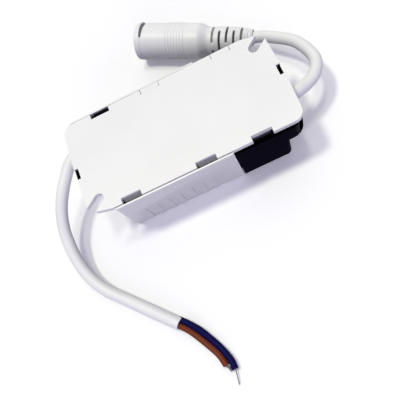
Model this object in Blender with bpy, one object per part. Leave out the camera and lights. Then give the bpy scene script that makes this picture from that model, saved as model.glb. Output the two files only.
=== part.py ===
import math

import bmesh
import bpy
import numpy as np
from mathutils import Matrix, Vector

# The driver lies upside down: its fixing plate faces up and its moulded top rests on z = 0.
# X runs from the input end to the output end. Sizes are in millimetres.
MM = 0.001

# Fixing plate
PLATE_LENGTH = 65.0
PLATE_WIDTH = 30.5
PLATE_THICK = 1.6
PLATE_CORNER = 3.0
PLATE_BOW = 0.35
NOTCH_DEPTH = 1.6
END_NOTCH_WIDTH = 3.4
END_NOTCH_DEPTH = 1.3
END_NOTCH_OFFSET = 0.9
SCREW_SLOT_WIDTH = 3.0
SCREW_SLOT_FROM_END = 4.4
SCREW_SLOT_FROM_SIDE = 4.45
SCREW_SLOT_ANGLE = 37.0
EDGE_TAPER_LENGTH = 7.2
EDGE_TAPER_ANGLE = 13.0
HOLD_DOWN_RADIUS = 1.0

# The plate's side notches: their middles along it, and their width, as shares of its length
NOTCH_SHARES = (-0.2954, 0.0523, 0.3046)
NOTCH_WIDTH_SHARE = 0.0923

# Snap arms and their catches
ARM_INSET = 0.25
ARM_THICK = 1.1
ARM_LENGTH = 5.2
ARM_SIDE_GAP = 0.3
BARB_REACH = 0.65
BARB_HEIGHT = 1.5
CATCH_HEIGHT = 1.0

# Housing, moulded in two pieces
HOUSING_HEIGHT = 20.0
RIM_DROP = 0.3
RIM_THICK = 0.5
WALL = 1.4
TOP_WALL = 1.6
DRAFT_ANGLE = 4.2
END_SETBACK = 0.2
HOUSING_CORNER = 4.2
EDGE_ROUND = 0.6
EAR_DEPTH = 9.0
INPUT_EAR_LENGTH = 7.0
OUTPUT_EAR_LENGTH = 5.9
EAR_BLOCK_REACH = 5.5
FREE_CORNER_STEP = 0.12
BOX_CORNER = 1.5
LIP_LENGTH = 2.5
LIP_THICK = 0.8
GROOVE_COUNT = 7
GROOVE_WIDTH = 1.9
GROOVE_DEPTH = 0.4
SUPPORT_WIDTH = 1.2

# The split and the vent grooves, as shares of the plate's length and of the ear's height
SPLIT_SHARE = 0.1692
GROOVE_ROW_SHARE = -0.11
GROOVE_PITCH_SHARE = 0.05615
GROOVE_HEIGHT_SHARE = 0.82

# Clearances
GAP = 0.3
FIT = 0.25
BOARD_SIDE_GAP = 0.5
BOARD_END_GAP = 0.65
CABLE_HOLE_GAP = 0.75

# Circuit board, with its parts on the side that faces down
BOARD_THICK = 1.2
SOLDER_SPACE = 1.8
LEAD_RADIUS = 0.3
PIN_RADIUS = 0.35
LEAD_END = 0.9

# Where each part stands, as shares of the board's length and width from its middle
FUSE_PLACE = (-0.4156, -0.0254)
VARISTOR_PLACE = (-0.3385, 0.2797)
FILM_PLACE = (-0.3156, -0.2331)
BRIDGE_PLACE = (-0.1823, -0.2542)
CHOKE_PLACE = (-0.2156, 0.2373)
CHIP_PLACE = (-0.2156, 0.0636)
BULK_PLACE = (-0.0448, 0.2627)
TRANSISTOR_PLACE = (-0.0698, -0.2669)
STARTUP_PLACE = (-0.0073, -0.2669)
SNUBBER_PLACE = (-0.0719, -0.0297)
SNUBBER_DIODE_PLACE = (0.0948, -0.428)
TRANSFORMER_PLACE = (0.2177, 0.0)
LOAD_PLACE = (0.2719, -0.4025)
OUTPUT_DIODE_PLACE = (0.4385, -0.2373)
OUTPUT_CAPACITOR_PLACE = (0.4385, 0.3051)
LIVE_HOLE = (-0.4677, 0.3136)
NEUTRAL_HOLE = (-0.4677, 0.1653)
PLUS_HOLE = (0.474, 0.1059)
MINUS_HOLE = (0.474, -0.0127)
SUPPORT_SHARES = (-0.3198, -0.1781, 0.2969)
HOLD_DOWN_SHARES = (0.4667, 0.436)

# Cables
CABLE_DIAMETER = 3.7
INNER_WIRE_DIAMETER = 1.4
CORE_DIAMETER = 1.7
BUNDLE_DIAMETER = 1.1
STRAND_DIAMETER = 0.6
CORD_STEP = 2.0
INPUT_CABLE_FROM_SIDE = 6.35
OUTPUT_CABLE_FROM_SIDE = 10.35
INPUT_CABLE_HELD = 5.5
OUTPUT_CABLE_HELD = 4.0
CLAMP_SIDE = 2.35
CLAMP_LENGTH = 2.4
CLAMP_FROM_WALL = 1.3

# Moulded connector
CONNECTOR_HEADING = -31.4
CONNECTOR_RISE = 0.5
COLLAR_RADIUS = 5.95
COLLAR_LENGTH = 2.1
BARREL_FRONT_RADIUS = 5.8
BARREL_BACK_RADIUS = 5.5
BARREL_END = 21.0
RELIEF_START = 24.8
RELIEF_END = 38.2
RELIEF_RADIUS = 4.2
RELIEF_TAIL_RADIUS = 2.45
RELIEF_BEND = 1.0
GRIP_RINGS = 7
GRIP_START = 10.7
GRIP_PITCH = 1.0
GRIP_HEIGHT = 0.12
SLOT_RINGS = 6
SLOT_START = 26.0
SLOT_PITCH = 2.27
SLOT_WIDTH = 0.65
SLOT_SPAN = 144.0
SLOT_MIDDLES = (62.0, 152.0)
SLOT_CORE_RADIUS = 2.65
SOCKET_DEPTH = 12.0
SOCKET_WALL = 1.6
PLUG_RADIUS = 2.85
PLUG_DEPTH = 9.5
PIN_TIP_RADIUS = 1.0
COLLAR_GROOVE_SPAN = (-30.0, 112.0)

# Fineness of round forms
ARC_STEPS = 6
ROUND_STEPS = 24
LATHE_STEPS = 28

# Places that follow from the sizes above
PLATE_UNDERSIDE = HOUSING_HEIGHT - PLATE_THICK
NOTCH_PLACES = tuple(share * PLATE_LENGTH for share in NOTCH_SHARES)
NOTCH_WIDTH = NOTCH_WIDTH_SHARE * PLATE_LENGTH
SCREW_SLOT_X = PLATE_LENGTH / 2 - SCREW_SLOT_FROM_END
SCREW_SLOT_Y = PLATE_WIDTH / 2 - SCREW_SLOT_FROM_SIDE
RIM_Z = HOUSING_HEIGHT - RIM_DROP
RIM_HALF_WIDTH = PLATE_WIDTH / 2 + GAP + RIM_THICK
HOUSING_HALF_LENGTH = PLATE_LENGTH / 2 - END_SETBACK
EAR_UNDERSIDE = HOUSING_HEIGHT - EAR_DEPTH
EAR_FLOOR = EAR_UNDERSIDE + WALL
INPUT_BOX_END = PLATE_LENGTH / 2 - INPUT_EAR_LENGTH
OUTPUT_BOX_END = PLATE_LENGTH / 2 - OUTPUT_EAR_LENGTH
SPLIT_X = SPLIT_SHARE * PLATE_LENGTH
GROOVE_ROW_X = GROOVE_ROW_SHARE * PLATE_LENGTH
GROOVE_PITCH = GROOVE_PITCH_SHARE * PLATE_LENGTH
GROOVE_HEIGHT = GROOVE_HEIGHT_SHARE * EAR_UNDERSIDE
LEDGE_Z = PLATE_UNDERSIDE - GAP
NOTCH_FACE = PLATE_WIDTH / 2 - NOTCH_DEPTH
ARM_FACE = NOTCH_FACE - ARM_INSET
ARM_FOOT = PLATE_UNDERSIDE - ARM_LENGTH
BARB_TOP = ARM_FOOT + BARB_HEIGHT
BOARD_TOP = PLATE_UNDERSIDE - SOLDER_SPACE
BOARD_UNDERSIDE = BOARD_TOP - BOARD_THICK
SEAT_Z = BOARD_UNDERSIDE - GAP
BOARD_WIDTH = 2 * (ARM_FACE - ARM_THICK - BOARD_SIDE_GAP)
BOARD_LENGTH = INPUT_BOX_END + OUTPUT_BOX_END - 2 * (WALL + BOARD_END_GAP)
BOARD_X = (OUTPUT_BOX_END - INPUT_BOX_END) / 2
INPUT_CABLE_Y = PLATE_WIDTH / 2 - INPUT_CABLE_FROM_SIDE
OUTPUT_CABLE_Y = OUTPUT_CABLE_FROM_SIDE - PLATE_WIDTH / 2
CABLE_Z = EAR_FLOOR + GAP + CABLE_DIAMETER / 2
INPUT_START_X = INPUT_CABLE_HELD - HOUSING_HALF_LENGTH
OUTPUT_START_X = HOUSING_HALF_LENGTH - OUTPUT_CABLE_HELD
FLOOR_Z = CABLE_DIAMETER / 2 + 0.05
FAR = PLATE_LENGTH + 2 * HOUSING_HEIGHT

# The parts keep their proportions and fill the room along, across and below the board
PART_SCALE = min(BOARD_LENGTH / 48.0, BOARD_WIDTH / 23.6, (SEAT_Z - TOP_WALL) / 13.5)

# Transformer
CORE_LENGTH = 14.4 * PART_SCALE
CORE_SPAN = 16.0 * PART_SCALE
CORE_THICK = 4.8 * PART_SCALE
CORE_BACK = 2.0 * PART_SCALE
CORE_LEG = 2.0 * PART_SCALE
CORE_CENTRE = 4.0 * PART_SCALE
BOBBIN_WALL = 0.6 * PART_SCALE
FLANGE_THICK = 0.8 * PART_SCALE
FLANGE_HALF = CORE_SPAN / 2 - CORE_LEG - 0.5 * PART_SCALE
WING_REACH = 0.9 * PART_SCALE
WING_THICK = 0.8 * PART_SCALE
PIN_STEPS = (-1.5, -0.5, 0.5, 1.5)
PIN_PITCH = 2.5 * PART_SCALE
CORE_Z = SEAT_Z - FLANGE_HALF - 0.7 * PART_SCALE
SAFETY_THICK = 2.8 * PART_SCALE

# Route of the input cable: along X and Y from where it leaves the case, then its middle's height
INPUT_ROUTE = [
    (0.5, 0.0, CABLE_Z),
    (-1.5, -0.9, CABLE_Z - 0.1),
    (-3.3, -2.5, CABLE_Z - 0.3),
    (-5.2, -4.8, CABLE_Z - 0.8),
    (-7.5, -7.8, CABLE_Z - 1.6),
    (-9.9, -11.3, 11.6),
    (-11.7, -14.8, 10.0),
    (-12.9, -18.6, 8.3),
    (-13.3, -21.9, 6.9),
    (-13.3, -25.5, 5.6),
    (-12.7, -29.8, 4.2),
    (-11.1, -34.5, 2.9),
    (-8.1, -39.1, 2.1),
    (-2.4, -45.0, FLOOR_Z),
    (2.4, -49.9, FLOOR_Z),
    (9.3, -56.9, FLOOR_Z),
]

# Routes of its two cores and of their bare ends, measured from the same place
BROWN_ROUTE = [
    (9.14, -57.6, 1.95),
    (10.81, -59.37, 1.4),
    (12.34, -61.6, 1.1),
    (14.46, -65.12, 1.0),
    (16.37, -68.68, 1.0),
    (17.3, -72.04, 1.0),
]
BLUE_ROUTE = [
    (10.34, -56.41, 1.95),
    (12.13, -58.46, 1.6),
    (14.0, -60.8, 1.25),
    (16.14, -64.42, 1.0),
    (17.91, -67.94, 1.05),
    (19.07, -71.16, 1.3),
    (19.28, -73.79, 1.3),
]
BROWN_STRAND_ROUTE = [
    (17.43, -72.34, 0.95),
    (17.85, -73.0, 0.85),
    (18.16, -73.89, 0.7),
]
BLUE_STRAND_ROUTE = [(19.25, -74.1, 1.2), (19.0, -75.9, 0.9), (18.6, -77.8, 0.5)]

# Route of the output cable from where it leaves the case, up to the connector, and the connector's front
OUTPUT_ROUTE = [
    (0.1, 0.0, CABLE_Z),
    (2.3, 0.7, 13.95),
    (4.8, 1.8, 13.05),
    (7.5, 3.5, 12.2),
    (9.6, 5.8, 11.5),
    (10.8, 8.7, 10.95),
    (10.91, 11.4, 10.4),
    (10.36, 14.39, 9.85),
    (9.02, 18.23, 9.1),
    (7.14, 21.05, 8.4),
    (4.96, 23.5, 7.6),
    (3.36, 25.29, 7.0),
]
CONNECTOR_FRONT = (-34.34, 47.47)

# Colour, roughness and metallic value of each material
MATERIALS = {
    "white_case": ((0.86, 0.86, 0.83), 0.45, 0.0),
    "black_case": ((0.015, 0.015, 0.02), 0.4, 0.0),
    "white_cable": ((0.82, 0.82, 0.81), 0.5, 0.0),
    "brown_core": ((0.22, 0.06, 0.02), 0.4, 0.0),
    "blue_core": ((0.01, 0.015, 0.12), 0.4, 0.0),
    "tinned_copper": ((0.75, 0.72, 0.68), 0.3, 1.0),
    "nickel": ((0.7, 0.7, 0.68), 0.25, 1.0),
    "black_moulding": ((0.02, 0.02, 0.02), 0.5, 0.0),
    "board": ((0.45, 0.3, 0.12), 0.6, 0.0),
    "ferrite": ((0.05, 0.05, 0.055), 0.6, 0.0),
    "tape": ((0.75, 0.55, 0.05), 0.35, 0.0),
    "green_coat": ((0.03, 0.22, 0.12), 0.4, 0.0),
    "blue_coat": ((0.02, 0.12, 0.4), 0.4, 0.0),
    "yellow_box": ((0.8, 0.6, 0.08), 0.45, 0.0),
    "capacitor_sleeve": ((0.02, 0.025, 0.06), 0.35, 0.0),
    "red_core": ((0.5, 0.02, 0.02), 0.4, 0.0),
    "black_core": ((0.015, 0.015, 0.015), 0.4, 0.0),
}

# Holes that the board needs, filled in as its parts are placed: x, y, radius
board_holes = []


def clear_scene():
    for old in list(bpy.data.objects):
        bpy.data.objects.remove(old, do_unlink=True)


def material(name):
    found = bpy.data.materials.get(name)
    if found:
        return found
    colour, roughness, metallic = MATERIALS[name]
    made = bpy.data.materials.new(name)
    made.use_nodes = True
    shader = made.node_tree.nodes["Principled BSDF"]
    shader.inputs["Base Color"].default_value = (*colour, 1.0)
    shader.inputs["Roughness"].default_value = roughness
    shader.inputs["Metallic"].default_value = metallic
    made.diffuse_color = (*colour, 1.0)
    return made


# A bmesh in millimetres becomes an object in metres
def make_object(name, bm, finish=None, smooth_angle=35.0):
    bmesh.ops.scale(bm, vec=(MM, MM, MM), verts=bm.verts)
    bmesh.ops.recalc_face_normals(bm, faces=bm.faces)
    mesh = bpy.data.meshes.new(name)
    bm.to_mesh(mesh)
    bm.free()
    mesh.shade_smooth()
    mesh.set_sharp_from_angle(angle=math.radians(smooth_angle))
    made = bpy.data.objects.new(name, mesh)
    bpy.context.scene.collection.objects.link(made)
    if finish:
        mesh.materials.append(material(finish))
    else:
        made.hide_render = True
        made.display_type = "WIRE"
    return made


def modify(target, operation, *tools):
    for tool in tools:
        cut = target.modifiers.new(f"{operation.lower()} {tool.name}", "BOOLEAN")
        cut.operation = operation
        cut.solver = "EXACT"
        cut.object = tool
        tool.hide_render = True
        tool.display_type = "WIRE"


def cut(target, *tools):
    modify(target, "DIFFERENCE", *tools)


def join(target, *tools):
    modify(target, "UNION", *tools)


# Rings of points, all with the same count, become the skin of one closed body
def add_loft(bm, rings):
    rows = [[bm.verts.new(point) for point in ring] for ring in rings]
    count = len(rows[0])
    for lower, upper in zip(rows, rows[1:]):
        for i in range(count):
            j = (i + 1) % count
            bm.faces.new((lower[i], lower[j], upper[j], upper[i]))
    bm.faces.new(list(reversed(rows[0])))
    bm.faces.new(rows[-1])


def add_prism(bm, outline, z0, z1):
    add_loft(bm, [[(x, y, z) for x, y in outline] for z in (z0, z1)])


# An outline in Y and Z, carried along X
def add_x_prism(bm, outline, x0, x1):
    add_loft(bm, [[(x, y, z) for y, z in outline] for x in (x0, x1)])


def add_box(bm, x0, x1, y0, y1, z0, z1):
    add_prism(bm, [(x0, y0), (x1, y0), (x1, y1), (x0, y1)], z0, z1)


def solid(name, finish, adders):
    bm = bmesh.new()
    for add, *values in adders:
        add(bm, *values)
    return make_object(name, bm, finish)


def arc(cx, cy, radius, start, end, steps=ARC_STEPS):
    angles = np.radians(np.linspace(start, end, steps + 1))
    return [(cx + radius * math.cos(a), cy + radius * math.sin(a)) for a in angles]


def circle(cx, cy, radius, steps):
    return arc(cx, cy, radius, 0.0, 360.0, steps)[:-1]


# A rectangle with round corners whose two ends bulge by bow
def rounded_outline(half_x, half_y, corner, bow=0.0):
    straight = half_y - corner
    steps = np.linspace(-straight, straight, 9)[1:-1]
    bulge = [(half_x - bow * (y / straight) ** 2, y) for y in steps]
    inner = half_x - bow - corner
    right = arc(inner, -straight, corner, -90, 0) + bulge + arc(inner, straight, corner, 0, 90)
    left = [(-x, -y) for x, y in right]
    return right + left


# Half width of the drafted housing at a height
def half_width(z):
    return RIM_HALF_WIDTH - (RIM_Z - z) * math.tan(math.radians(DRAFT_ANGLE))


# Heights where the section changes, and how far the lower edge is rounded in there
def edge_levels(floor):
    angles = np.radians((0.0, 30.0, 60.0, 90.0))
    levels = [(floor + EDGE_ROUND * (1 - math.sin(a)), EDGE_ROUND * (1 - math.cos(a))) for a in angles]
    return levels[::-1]


# The whole housing form, shrunk by inset, without the space under its two ears and beside their blocks
def case_form(name, inset, top):
    floor = inset * TOP_WALL / WALL
    levels = edge_levels(floor) + [(top, 0.0)]
    corner = HOUSING_CORNER - inset
    rings = []
    for z, turn in levels:
        half_x = HOUSING_HALF_LENGTH - inset - turn
        outline = rounded_outline(half_x, half_width(z) - inset - turn, corner - turn, PLATE_BOW)
        rings.append([(x, y, z) for x, y in outline])
    form = solid(name, None, [(add_loft, rings)])
    cut(form, under_ear(f"{name}_input_ear", -1, INPUT_BOX_END, inset, floor))
    cut(form, under_ear(f"{name}_output_ear", 1, OUTPUT_BOX_END, inset, floor))
    cut(form, beside_block(f"{name}_input_corner", -1, INPUT_BOX_END, inset))
    cut(form, beside_block(f"{name}_output_corner", 1, OUTPUT_BOX_END, inset))
    return form


# The space under one ear: all that lies beyond the box's rounded end and below the ear
def under_ear(name, side, end, inset, floor):
    levels = edge_levels(floor)
    levels = [(floor - 2.0, levels[0][1])] + levels + [(EAR_UNDERSIDE + inset, 0.0)]
    corner = BOX_CORNER - min(inset, BOX_CORNER - 0.4)
    rings = []
    for z, turn in levels:
        x = end - inset - turn
        y = half_width(max(z, floor)) - inset - turn
        centre_x = x - corner
        centre_y = y - corner
        lower = arc(centre_x, -centre_y, corner, -90, 0)
        upper = arc(centre_x, centre_y, corner, 0, 90)
        lower[0] = (centre_x, -y - 0.02)
        upper[-1] = (centre_x, y + 0.02)
        outline = lower + upper + [(centre_x, FAR), (FAR, FAR), (FAR, -FAR), (centre_x, -FAR)]
        rings.append([(side * px, py, z) for px, py in outline])
    return solid(name, None, [(add_loft, rings)])


# The space beside one ear's block: there only the plate reaches over, with its screw slot
def beside_block(name, side, end, inset):
    corner = BOX_CORNER - min(inset, BOX_CORNER - 0.4)
    x = end - inset - FREE_CORNER_STEP
    y_block = EAR_BLOCK_REACH - inset
    rings = []
    for z in (EAR_UNDERSIDE + inset - 0.1, HOUSING_HEIGHT + 3.0):
        y = half_width(z) - inset
        turn = arc(x - corner, y - corner, corner, 0, 90)
        turn[-1] = (x - corner, y + 0.02)
        outline = [(x, y_block)] + turn + [(x - corner, FAR), (FAR, FAR), (FAR, y_block)]
        rings.append([(side * px, side * py, z) for px, py in outline])
    return solid(name, None, [(add_loft, rings)])


# An open slot that starts at a round end and runs out past a corner of the plate
def screw_slot_outline(side, width):
    start = 90 + SCREW_SLOT_ANGLE
    cap = arc(0.0, 0.0, width / 2, start, start + 180, 2 * ARC_STEPS)
    run = math.radians(SCREW_SLOT_ANGLE)
    ahead = (12.0 * math.cos(run), 12.0 * math.sin(run))
    outline = cap + [(x + ahead[0], y + ahead[1]) for x, y in (cap[-1], cap[0])]
    return [(side * (x + SCREW_SLOT_X), side * (y + SCREW_SLOT_Y)) for x, y in outline]


# Beside a screw slot the plate's long edge leans in towards the corner
def edge_taper_outline(side):
    lean = math.tan(math.radians(EDGE_TAPER_ANGLE))
    start = PLATE_LENGTH / 2 - EDGE_TAPER_LENGTH
    outline = [(start + step, PLATE_WIDTH / 2 - step * lean) for step in (-0.3, EDGE_TAPER_LENGTH + 3.0)]
    outline += [(x, PLATE_WIDTH) for x, y in outline[::-1]]
    return [(side * x, side * y) for x, y in outline]


# Each arm's place along X and its side: three near, and the same three turned round, far
def arm_places():
    return [(x, -1) for x in NOTCH_PLACES] + [(-x, 1) for x in NOTCH_PLACES]


def build_plate():
    outline = rounded_outline(PLATE_LENGTH / 2, PLATE_WIDTH / 2, PLATE_CORNER, PLATE_BOW)
    plate = solid("base_plate", "white_case", [(add_prism, outline, PLATE_UNDERSIDE, HOUSING_HEIGHT)])
    arms = []
    barbs = []
    notches = []
    arm_half = NOTCH_WIDTH / 2 - ARM_SIDE_GAP
    for x, side in arm_places():
        y_in = side * (ARM_FACE - ARM_THICK)
        y_out = side * ARM_FACE
        arms.append((add_box, x - arm_half, x + arm_half, min(y_in, y_out), max(y_in, y_out),
                     ARM_FOOT, PLATE_UNDERSIDE + 0.4))
        barb = [
            (side * (ARM_FACE - 0.4), BARB_TOP),
            (side * (ARM_FACE + BARB_REACH), BARB_TOP),
            (side * (ARM_FACE + BARB_REACH), BARB_TOP - 0.5),
            (side * (ARM_FACE - 0.4), ARM_FOOT - 0.2),
        ]
        barbs.append((add_x_prism, barb, x - arm_half + 0.2, x + arm_half - 0.2))
        y_edge = side * (PLATE_WIDTH / 2 + 2.0)
        y_face = side * NOTCH_FACE
        notches.append((add_box, x - NOTCH_WIDTH / 2, x + NOTCH_WIDTH / 2, min(y_face, y_edge),
                        max(y_face, y_edge), ARM_FOOT - 1.0, HOUSING_HEIGHT + 1.0))
    pins = []
    for x, y in hold_down_places():
        ring = circle(x, y, HOLD_DOWN_RADIUS, 12)
        pins.append((add_prism, ring, BOARD_TOP + GAP, PLATE_UNDERSIDE + 0.4))
    ends = []
    tapers = []
    for side in (-1, 1):
        taper = edge_taper_outline(side)
        tapers.append((add_prism, taper, PLATE_UNDERSIDE - 1.0, HOUSING_HEIGHT + 1.0))
        x0 = side * (PLATE_LENGTH / 2 - END_NOTCH_DEPTH)
        x1 = side * (PLATE_LENGTH / 2 + 2.0)
        y = side * END_NOTCH_OFFSET
        half = END_NOTCH_WIDTH / 2
        ends.append((add_box, min(x0, x1), max(x0, x1), y - half, y + half, PLATE_UNDERSIDE - 1.0,
                     HOUSING_HEIGHT + 1.0))
        ends.append((add_prism, screw_slot_outline(side, SCREW_SLOT_WIDTH), PLATE_UNDERSIDE - 1.0,
                     HOUSING_HEIGHT + 1.0))
    join(plate, solid("plate_arms", None, arms), solid("plate_pins", None, pins))
    cut(plate, solid("plate_notches", None, notches), solid("plate_ends", None, ends),
        solid("plate_tapers", None, tapers))
    join(plate, solid("plate_barbs", None, barbs))
    return plate


def hold_down_places():
    along, across = HOLD_DOWN_SHARES
    return [on_board((sx * along, sy * across)) for sx in (-1, 1) for sy in (-1, 1)]


# The housing's hollow, less the catches and board supports that stand in it
def build_hollow():
    hollow = case_form("case_hollow", WALL, HOUSING_HEIGHT + 2.0)
    catches = []
    catch_inner = ARM_FACE + FIT
    catch_half = NOTCH_WIDTH / 2
    for x, side in arm_places():
        y0 = side * catch_inner
        y1 = side * (RIM_HALF_WIDTH + 2.0)
        catches.append((add_box, x - catch_half, x + catch_half, min(y0, y1), max(y0, y1),
                        BARB_TOP + GAP, BARB_TOP + GAP + CATCH_HEIGHT))
    supports = []
    for share in SUPPORT_SHARES:
        x = on_board((share, 0.0))[0]
        for side in (-1, 1):
            y0 = side * (BOARD_WIDTH / 2 - 0.9)
            y1 = side * (RIM_HALF_WIDTH + 2.0)
            supports.append((add_box, x - SUPPORT_WIDTH / 2, x + SUPPORT_WIDTH / 2, min(y0, y1),
                             max(y0, y1), -1.0, SEAT_Z))
    cut(hollow, solid("catch_ribs", None, catches), solid("board_supports", None, supports))
    return hollow


# Everything that is cut into the walls of the case
def build_wall_cuts():
    seat = rounded_outline(PLATE_LENGTH / 2 + GAP, PLATE_WIDTH / 2 + GAP, PLATE_CORNER + GAP, PLATE_BOW)
    rebate = solid("plate_seat", None, [(add_prism, seat, LEDGE_Z, HOUSING_HEIGHT + 3.0)])
    grooves = []
    for i in range(GROOVE_COUNT):
        x = GROOVE_ROW_X + (i - (GROOVE_COUNT - 1) / 2) * GROOVE_PITCH
        for side in (-1, 1):
            foot = side * (half_width(0.0) - GROOVE_DEPTH)
            head = side * (half_width(GROOVE_HEIGHT) - GROOVE_DEPTH)
            brow = side * (half_width(GROOVE_HEIGHT + 1.0) + 0.5)
            section = [(side * FAR / 2, -1.0), (foot, -1.0), (head, GROOVE_HEIGHT),
                       (brow, GROOVE_HEIGHT + 1.5), (side * FAR / 2, GROOVE_HEIGHT + 1.5)]
            grooves.append((add_x_prism, section, x - GROOVE_WIDTH / 2, x + GROOVE_WIDTH / 2))
    vents = solid("vent_grooves", None, grooves)
    holes = []
    for side, y in ((-1, INPUT_CABLE_Y), (1, OUTPUT_CABLE_Y)):
        ring = circle(y, CABLE_Z, CABLE_DIAMETER / 2 + CABLE_HOLE_GAP, ROUND_STEPS)
        x0 = side * (HOUSING_HALF_LENGTH - WALL - 1.5)
        x1 = side * (HOUSING_HALF_LENGTH + 2.0)
        holes.append((add_x_prism, ring, min(x0, x1), max(x0, x1)))
    cable_holes = solid("cable_holes", None, holes)
    return rebate, vents, cable_holes


# A thin tab on an end wall that stands in the plate's end notch
def end_tab(side):
    x0 = side * (PLATE_LENGTH / 2 - END_NOTCH_DEPTH + 0.55)
    x1 = side * (HOUSING_HALF_LENGTH - 0.05)
    y = side * END_NOTCH_OFFSET
    half = END_NOTCH_WIDTH / 2 - FIT
    box = (add_box, min(x0, x1), max(x0, x1), y - half, y + half, LEDGE_Z - 1.0, HOUSING_HEIGHT - 0.1)
    return solid(f"end_tab_{'output' if side > 0 else 'input'}", None, [box])


# The lap joint: a band inside the walls, carried by the end housing
def lap_band(name, outer_inset, inner_inset, x0, x1, top):
    def corner(inset):
        floor = TOP_WALL - WALL + inset
        return half_width(floor) - inset, floor

    outer_y, outer_z = corner(outer_inset)
    inner_y, inner_z = corner(inner_inset)
    outer_top = half_width(top) - outer_inset
    inner_top = half_width(top) - inner_inset
    section = [
        (-outer_top, top), (-outer_y, outer_z), (outer_y, outer_z), (outer_top, top),
        (inner_top, top), (inner_y, inner_z), (-inner_y, inner_z), (-inner_top, top),
    ]
    return solid(name, None, [(add_x_prism, section, x0, x1)])


def build_case():
    hollow = build_hollow()
    rebate, vents, cable_holes = build_wall_cuts()
    edge = SPLIT_X - GAP / 2
    main = case_form("main_housing", 0.0, RIM_Z)
    main.data.materials.append(material("white_case"))
    cut(main, hollow, rebate, vents, cable_holes)
    cut(main, solid("output_half", None, [(add_box, edge, FAR, -FAR, FAR, -FAR, FAR)]))
    join(main, end_tab(-1))
    end = case_form("end_housing", 0.0, LEDGE_Z)
    end.data.materials.append(material("black_case"))
    cut(end, hollow, vents, cable_holes)
    cut(end, solid("input_half", None, [(add_box, -FAR, edge + GAP, -FAR, FAR, -FAR, FAR)]))
    reach = SPLIT_X + GAP / 2 + 1.6
    lip_top = LEDGE_Z - 1.0
    inner = WALL + GAP + LIP_THICK
    collar = lap_band("lap_collar", WALL - GAP, inner, edge + GAP + 0.05, reach, lip_top)
    lip_start = edge + GAP - LIP_LENGTH
    lip = lap_band("lap_lip", WALL + GAP, inner - 0.05, lip_start, reach - 0.3, lip_top - 0.1)
    join(end, collar, lip, end_tab(1))
    for shell in (main, end):
        shell.hide_render = False
        shell.display_type = "TEXTURED"
    return main, end


# A Catmull-Rom curve through the route, read at even steps
def smooth_route(points, step):
    knots = np.array(points, float)
    ends = np.vstack([2 * knots[0] - knots[1], knots, 2 * knots[-1] - knots[-2]])
    fine = []
    for i in range(len(knots) - 1):
        p0, p1, p2, p3 = ends[i:i + 4]
        for t in np.linspace(0, 1, 24, endpoint=False):
            fine.append(0.5 * (2 * p1 + (p2 - p0) * t + (2 * p0 - 5 * p1 + 4 * p2 - p3) * t * t
                               + (3 * p1 - p0 - 3 * p2 + p3) * t ** 3))
    fine.append(knots[-1])
    fine = np.array(fine)
    travel = np.concatenate([[0], np.cumsum(np.linalg.norm(np.diff(fine, axis=0), axis=1))])
    count = max(2, round(travel[-1] / step))
    even = np.linspace(0, travel[-1], count + 1)
    return np.column_stack([np.interp(even, travel, fine[:, axis]) for axis in range(3)])


# A free cord: a round tube with closed ends. Its held route points, at either end, stay straight
def cord(name, finish, route, diameter, held_first=0, held_last=0, resolution=2):
    turn = len(route) - held_last
    curved = smooth_route(route[held_first:turn], CORD_STEP * diameter)
    points = np.array(list(route[:held_first]) + list(curved) + list(route[turn:]), float)
    curve = bpy.data.curves.new(name, "CURVE")
    curve.dimensions = "3D"
    curve.bevel_depth = diameter / 2 * MM
    curve.bevel_resolution = resolution
    curve.use_fill_caps = True
    spline = curve.splines.new("POLY")
    spline.points.add(len(points) - 1)
    for slot, point in zip(spline.points, points):
        slot.co = (*(point * MM), 1.0)
    curve.materials.append(material(finish))
    made = bpy.data.objects.new(name, curve)
    bpy.context.scene.collection.objects.link(made)
    return made


# A round rod along a path, with a radius at each point
def add_rod(bm, path, radii, sides=8):
    path = [Vector(point) for point in path]
    rings = []
    previous = None
    for i, point in enumerate(path):
        before = path[max(i - 1, 0)]
        after = path[min(i + 1, len(path) - 1)]
        ahead = (after - before).normalized()
        if previous is None:
            side = ahead.cross(Vector((0.31, 0.17, 0.93))).normalized()
        else:
            side = (previous - ahead * previous.dot(ahead)).normalized()
        previous = side
        up = ahead.cross(side)
        radius = radii[i] if isinstance(radii, (list, tuple)) else radii
        angles = [2 * math.pi * k / sides for k in range(sides)]
        rings.append([point + radius * (side * math.cos(a) + up * math.sin(a)) for a in angles])
    add_loft(bm, rings)


# A closed body turned about an axis; the profile gives (height along the axis, radius)
def add_turned(bm, profile, centre, axis="Z", steps=ROUND_STEPS):
    rings = []
    for along, radius in profile:
        ring = []
        for k in range(steps):
            a = 2 * math.pi * k / steps
            u, v = radius * math.cos(a), radius * math.sin(a)
            offset = {"X": (along, u, v), "Y": (v, along, u), "Z": (u, v, along)}[axis]
            ring.append(tuple(c + o for c, o in zip(centre, offset)))
        rings.append(ring)
    add_loft(bm, rings)


# A place given as shares of the board's length and width
def on_board(place):
    return BOARD_X + place[0] * BOARD_LENGTH, place[1] * BOARD_WIDTH


# A straight lead from a part's body up through the board, and its hole
def lead(x, y, from_z, radius=LEAD_RADIUS):
    board_holes.append((x, y, radius + GAP))
    return (add_rod, [(x, y, from_z), (x, y, BOARD_TOP + LEAD_END)], radius)


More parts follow.
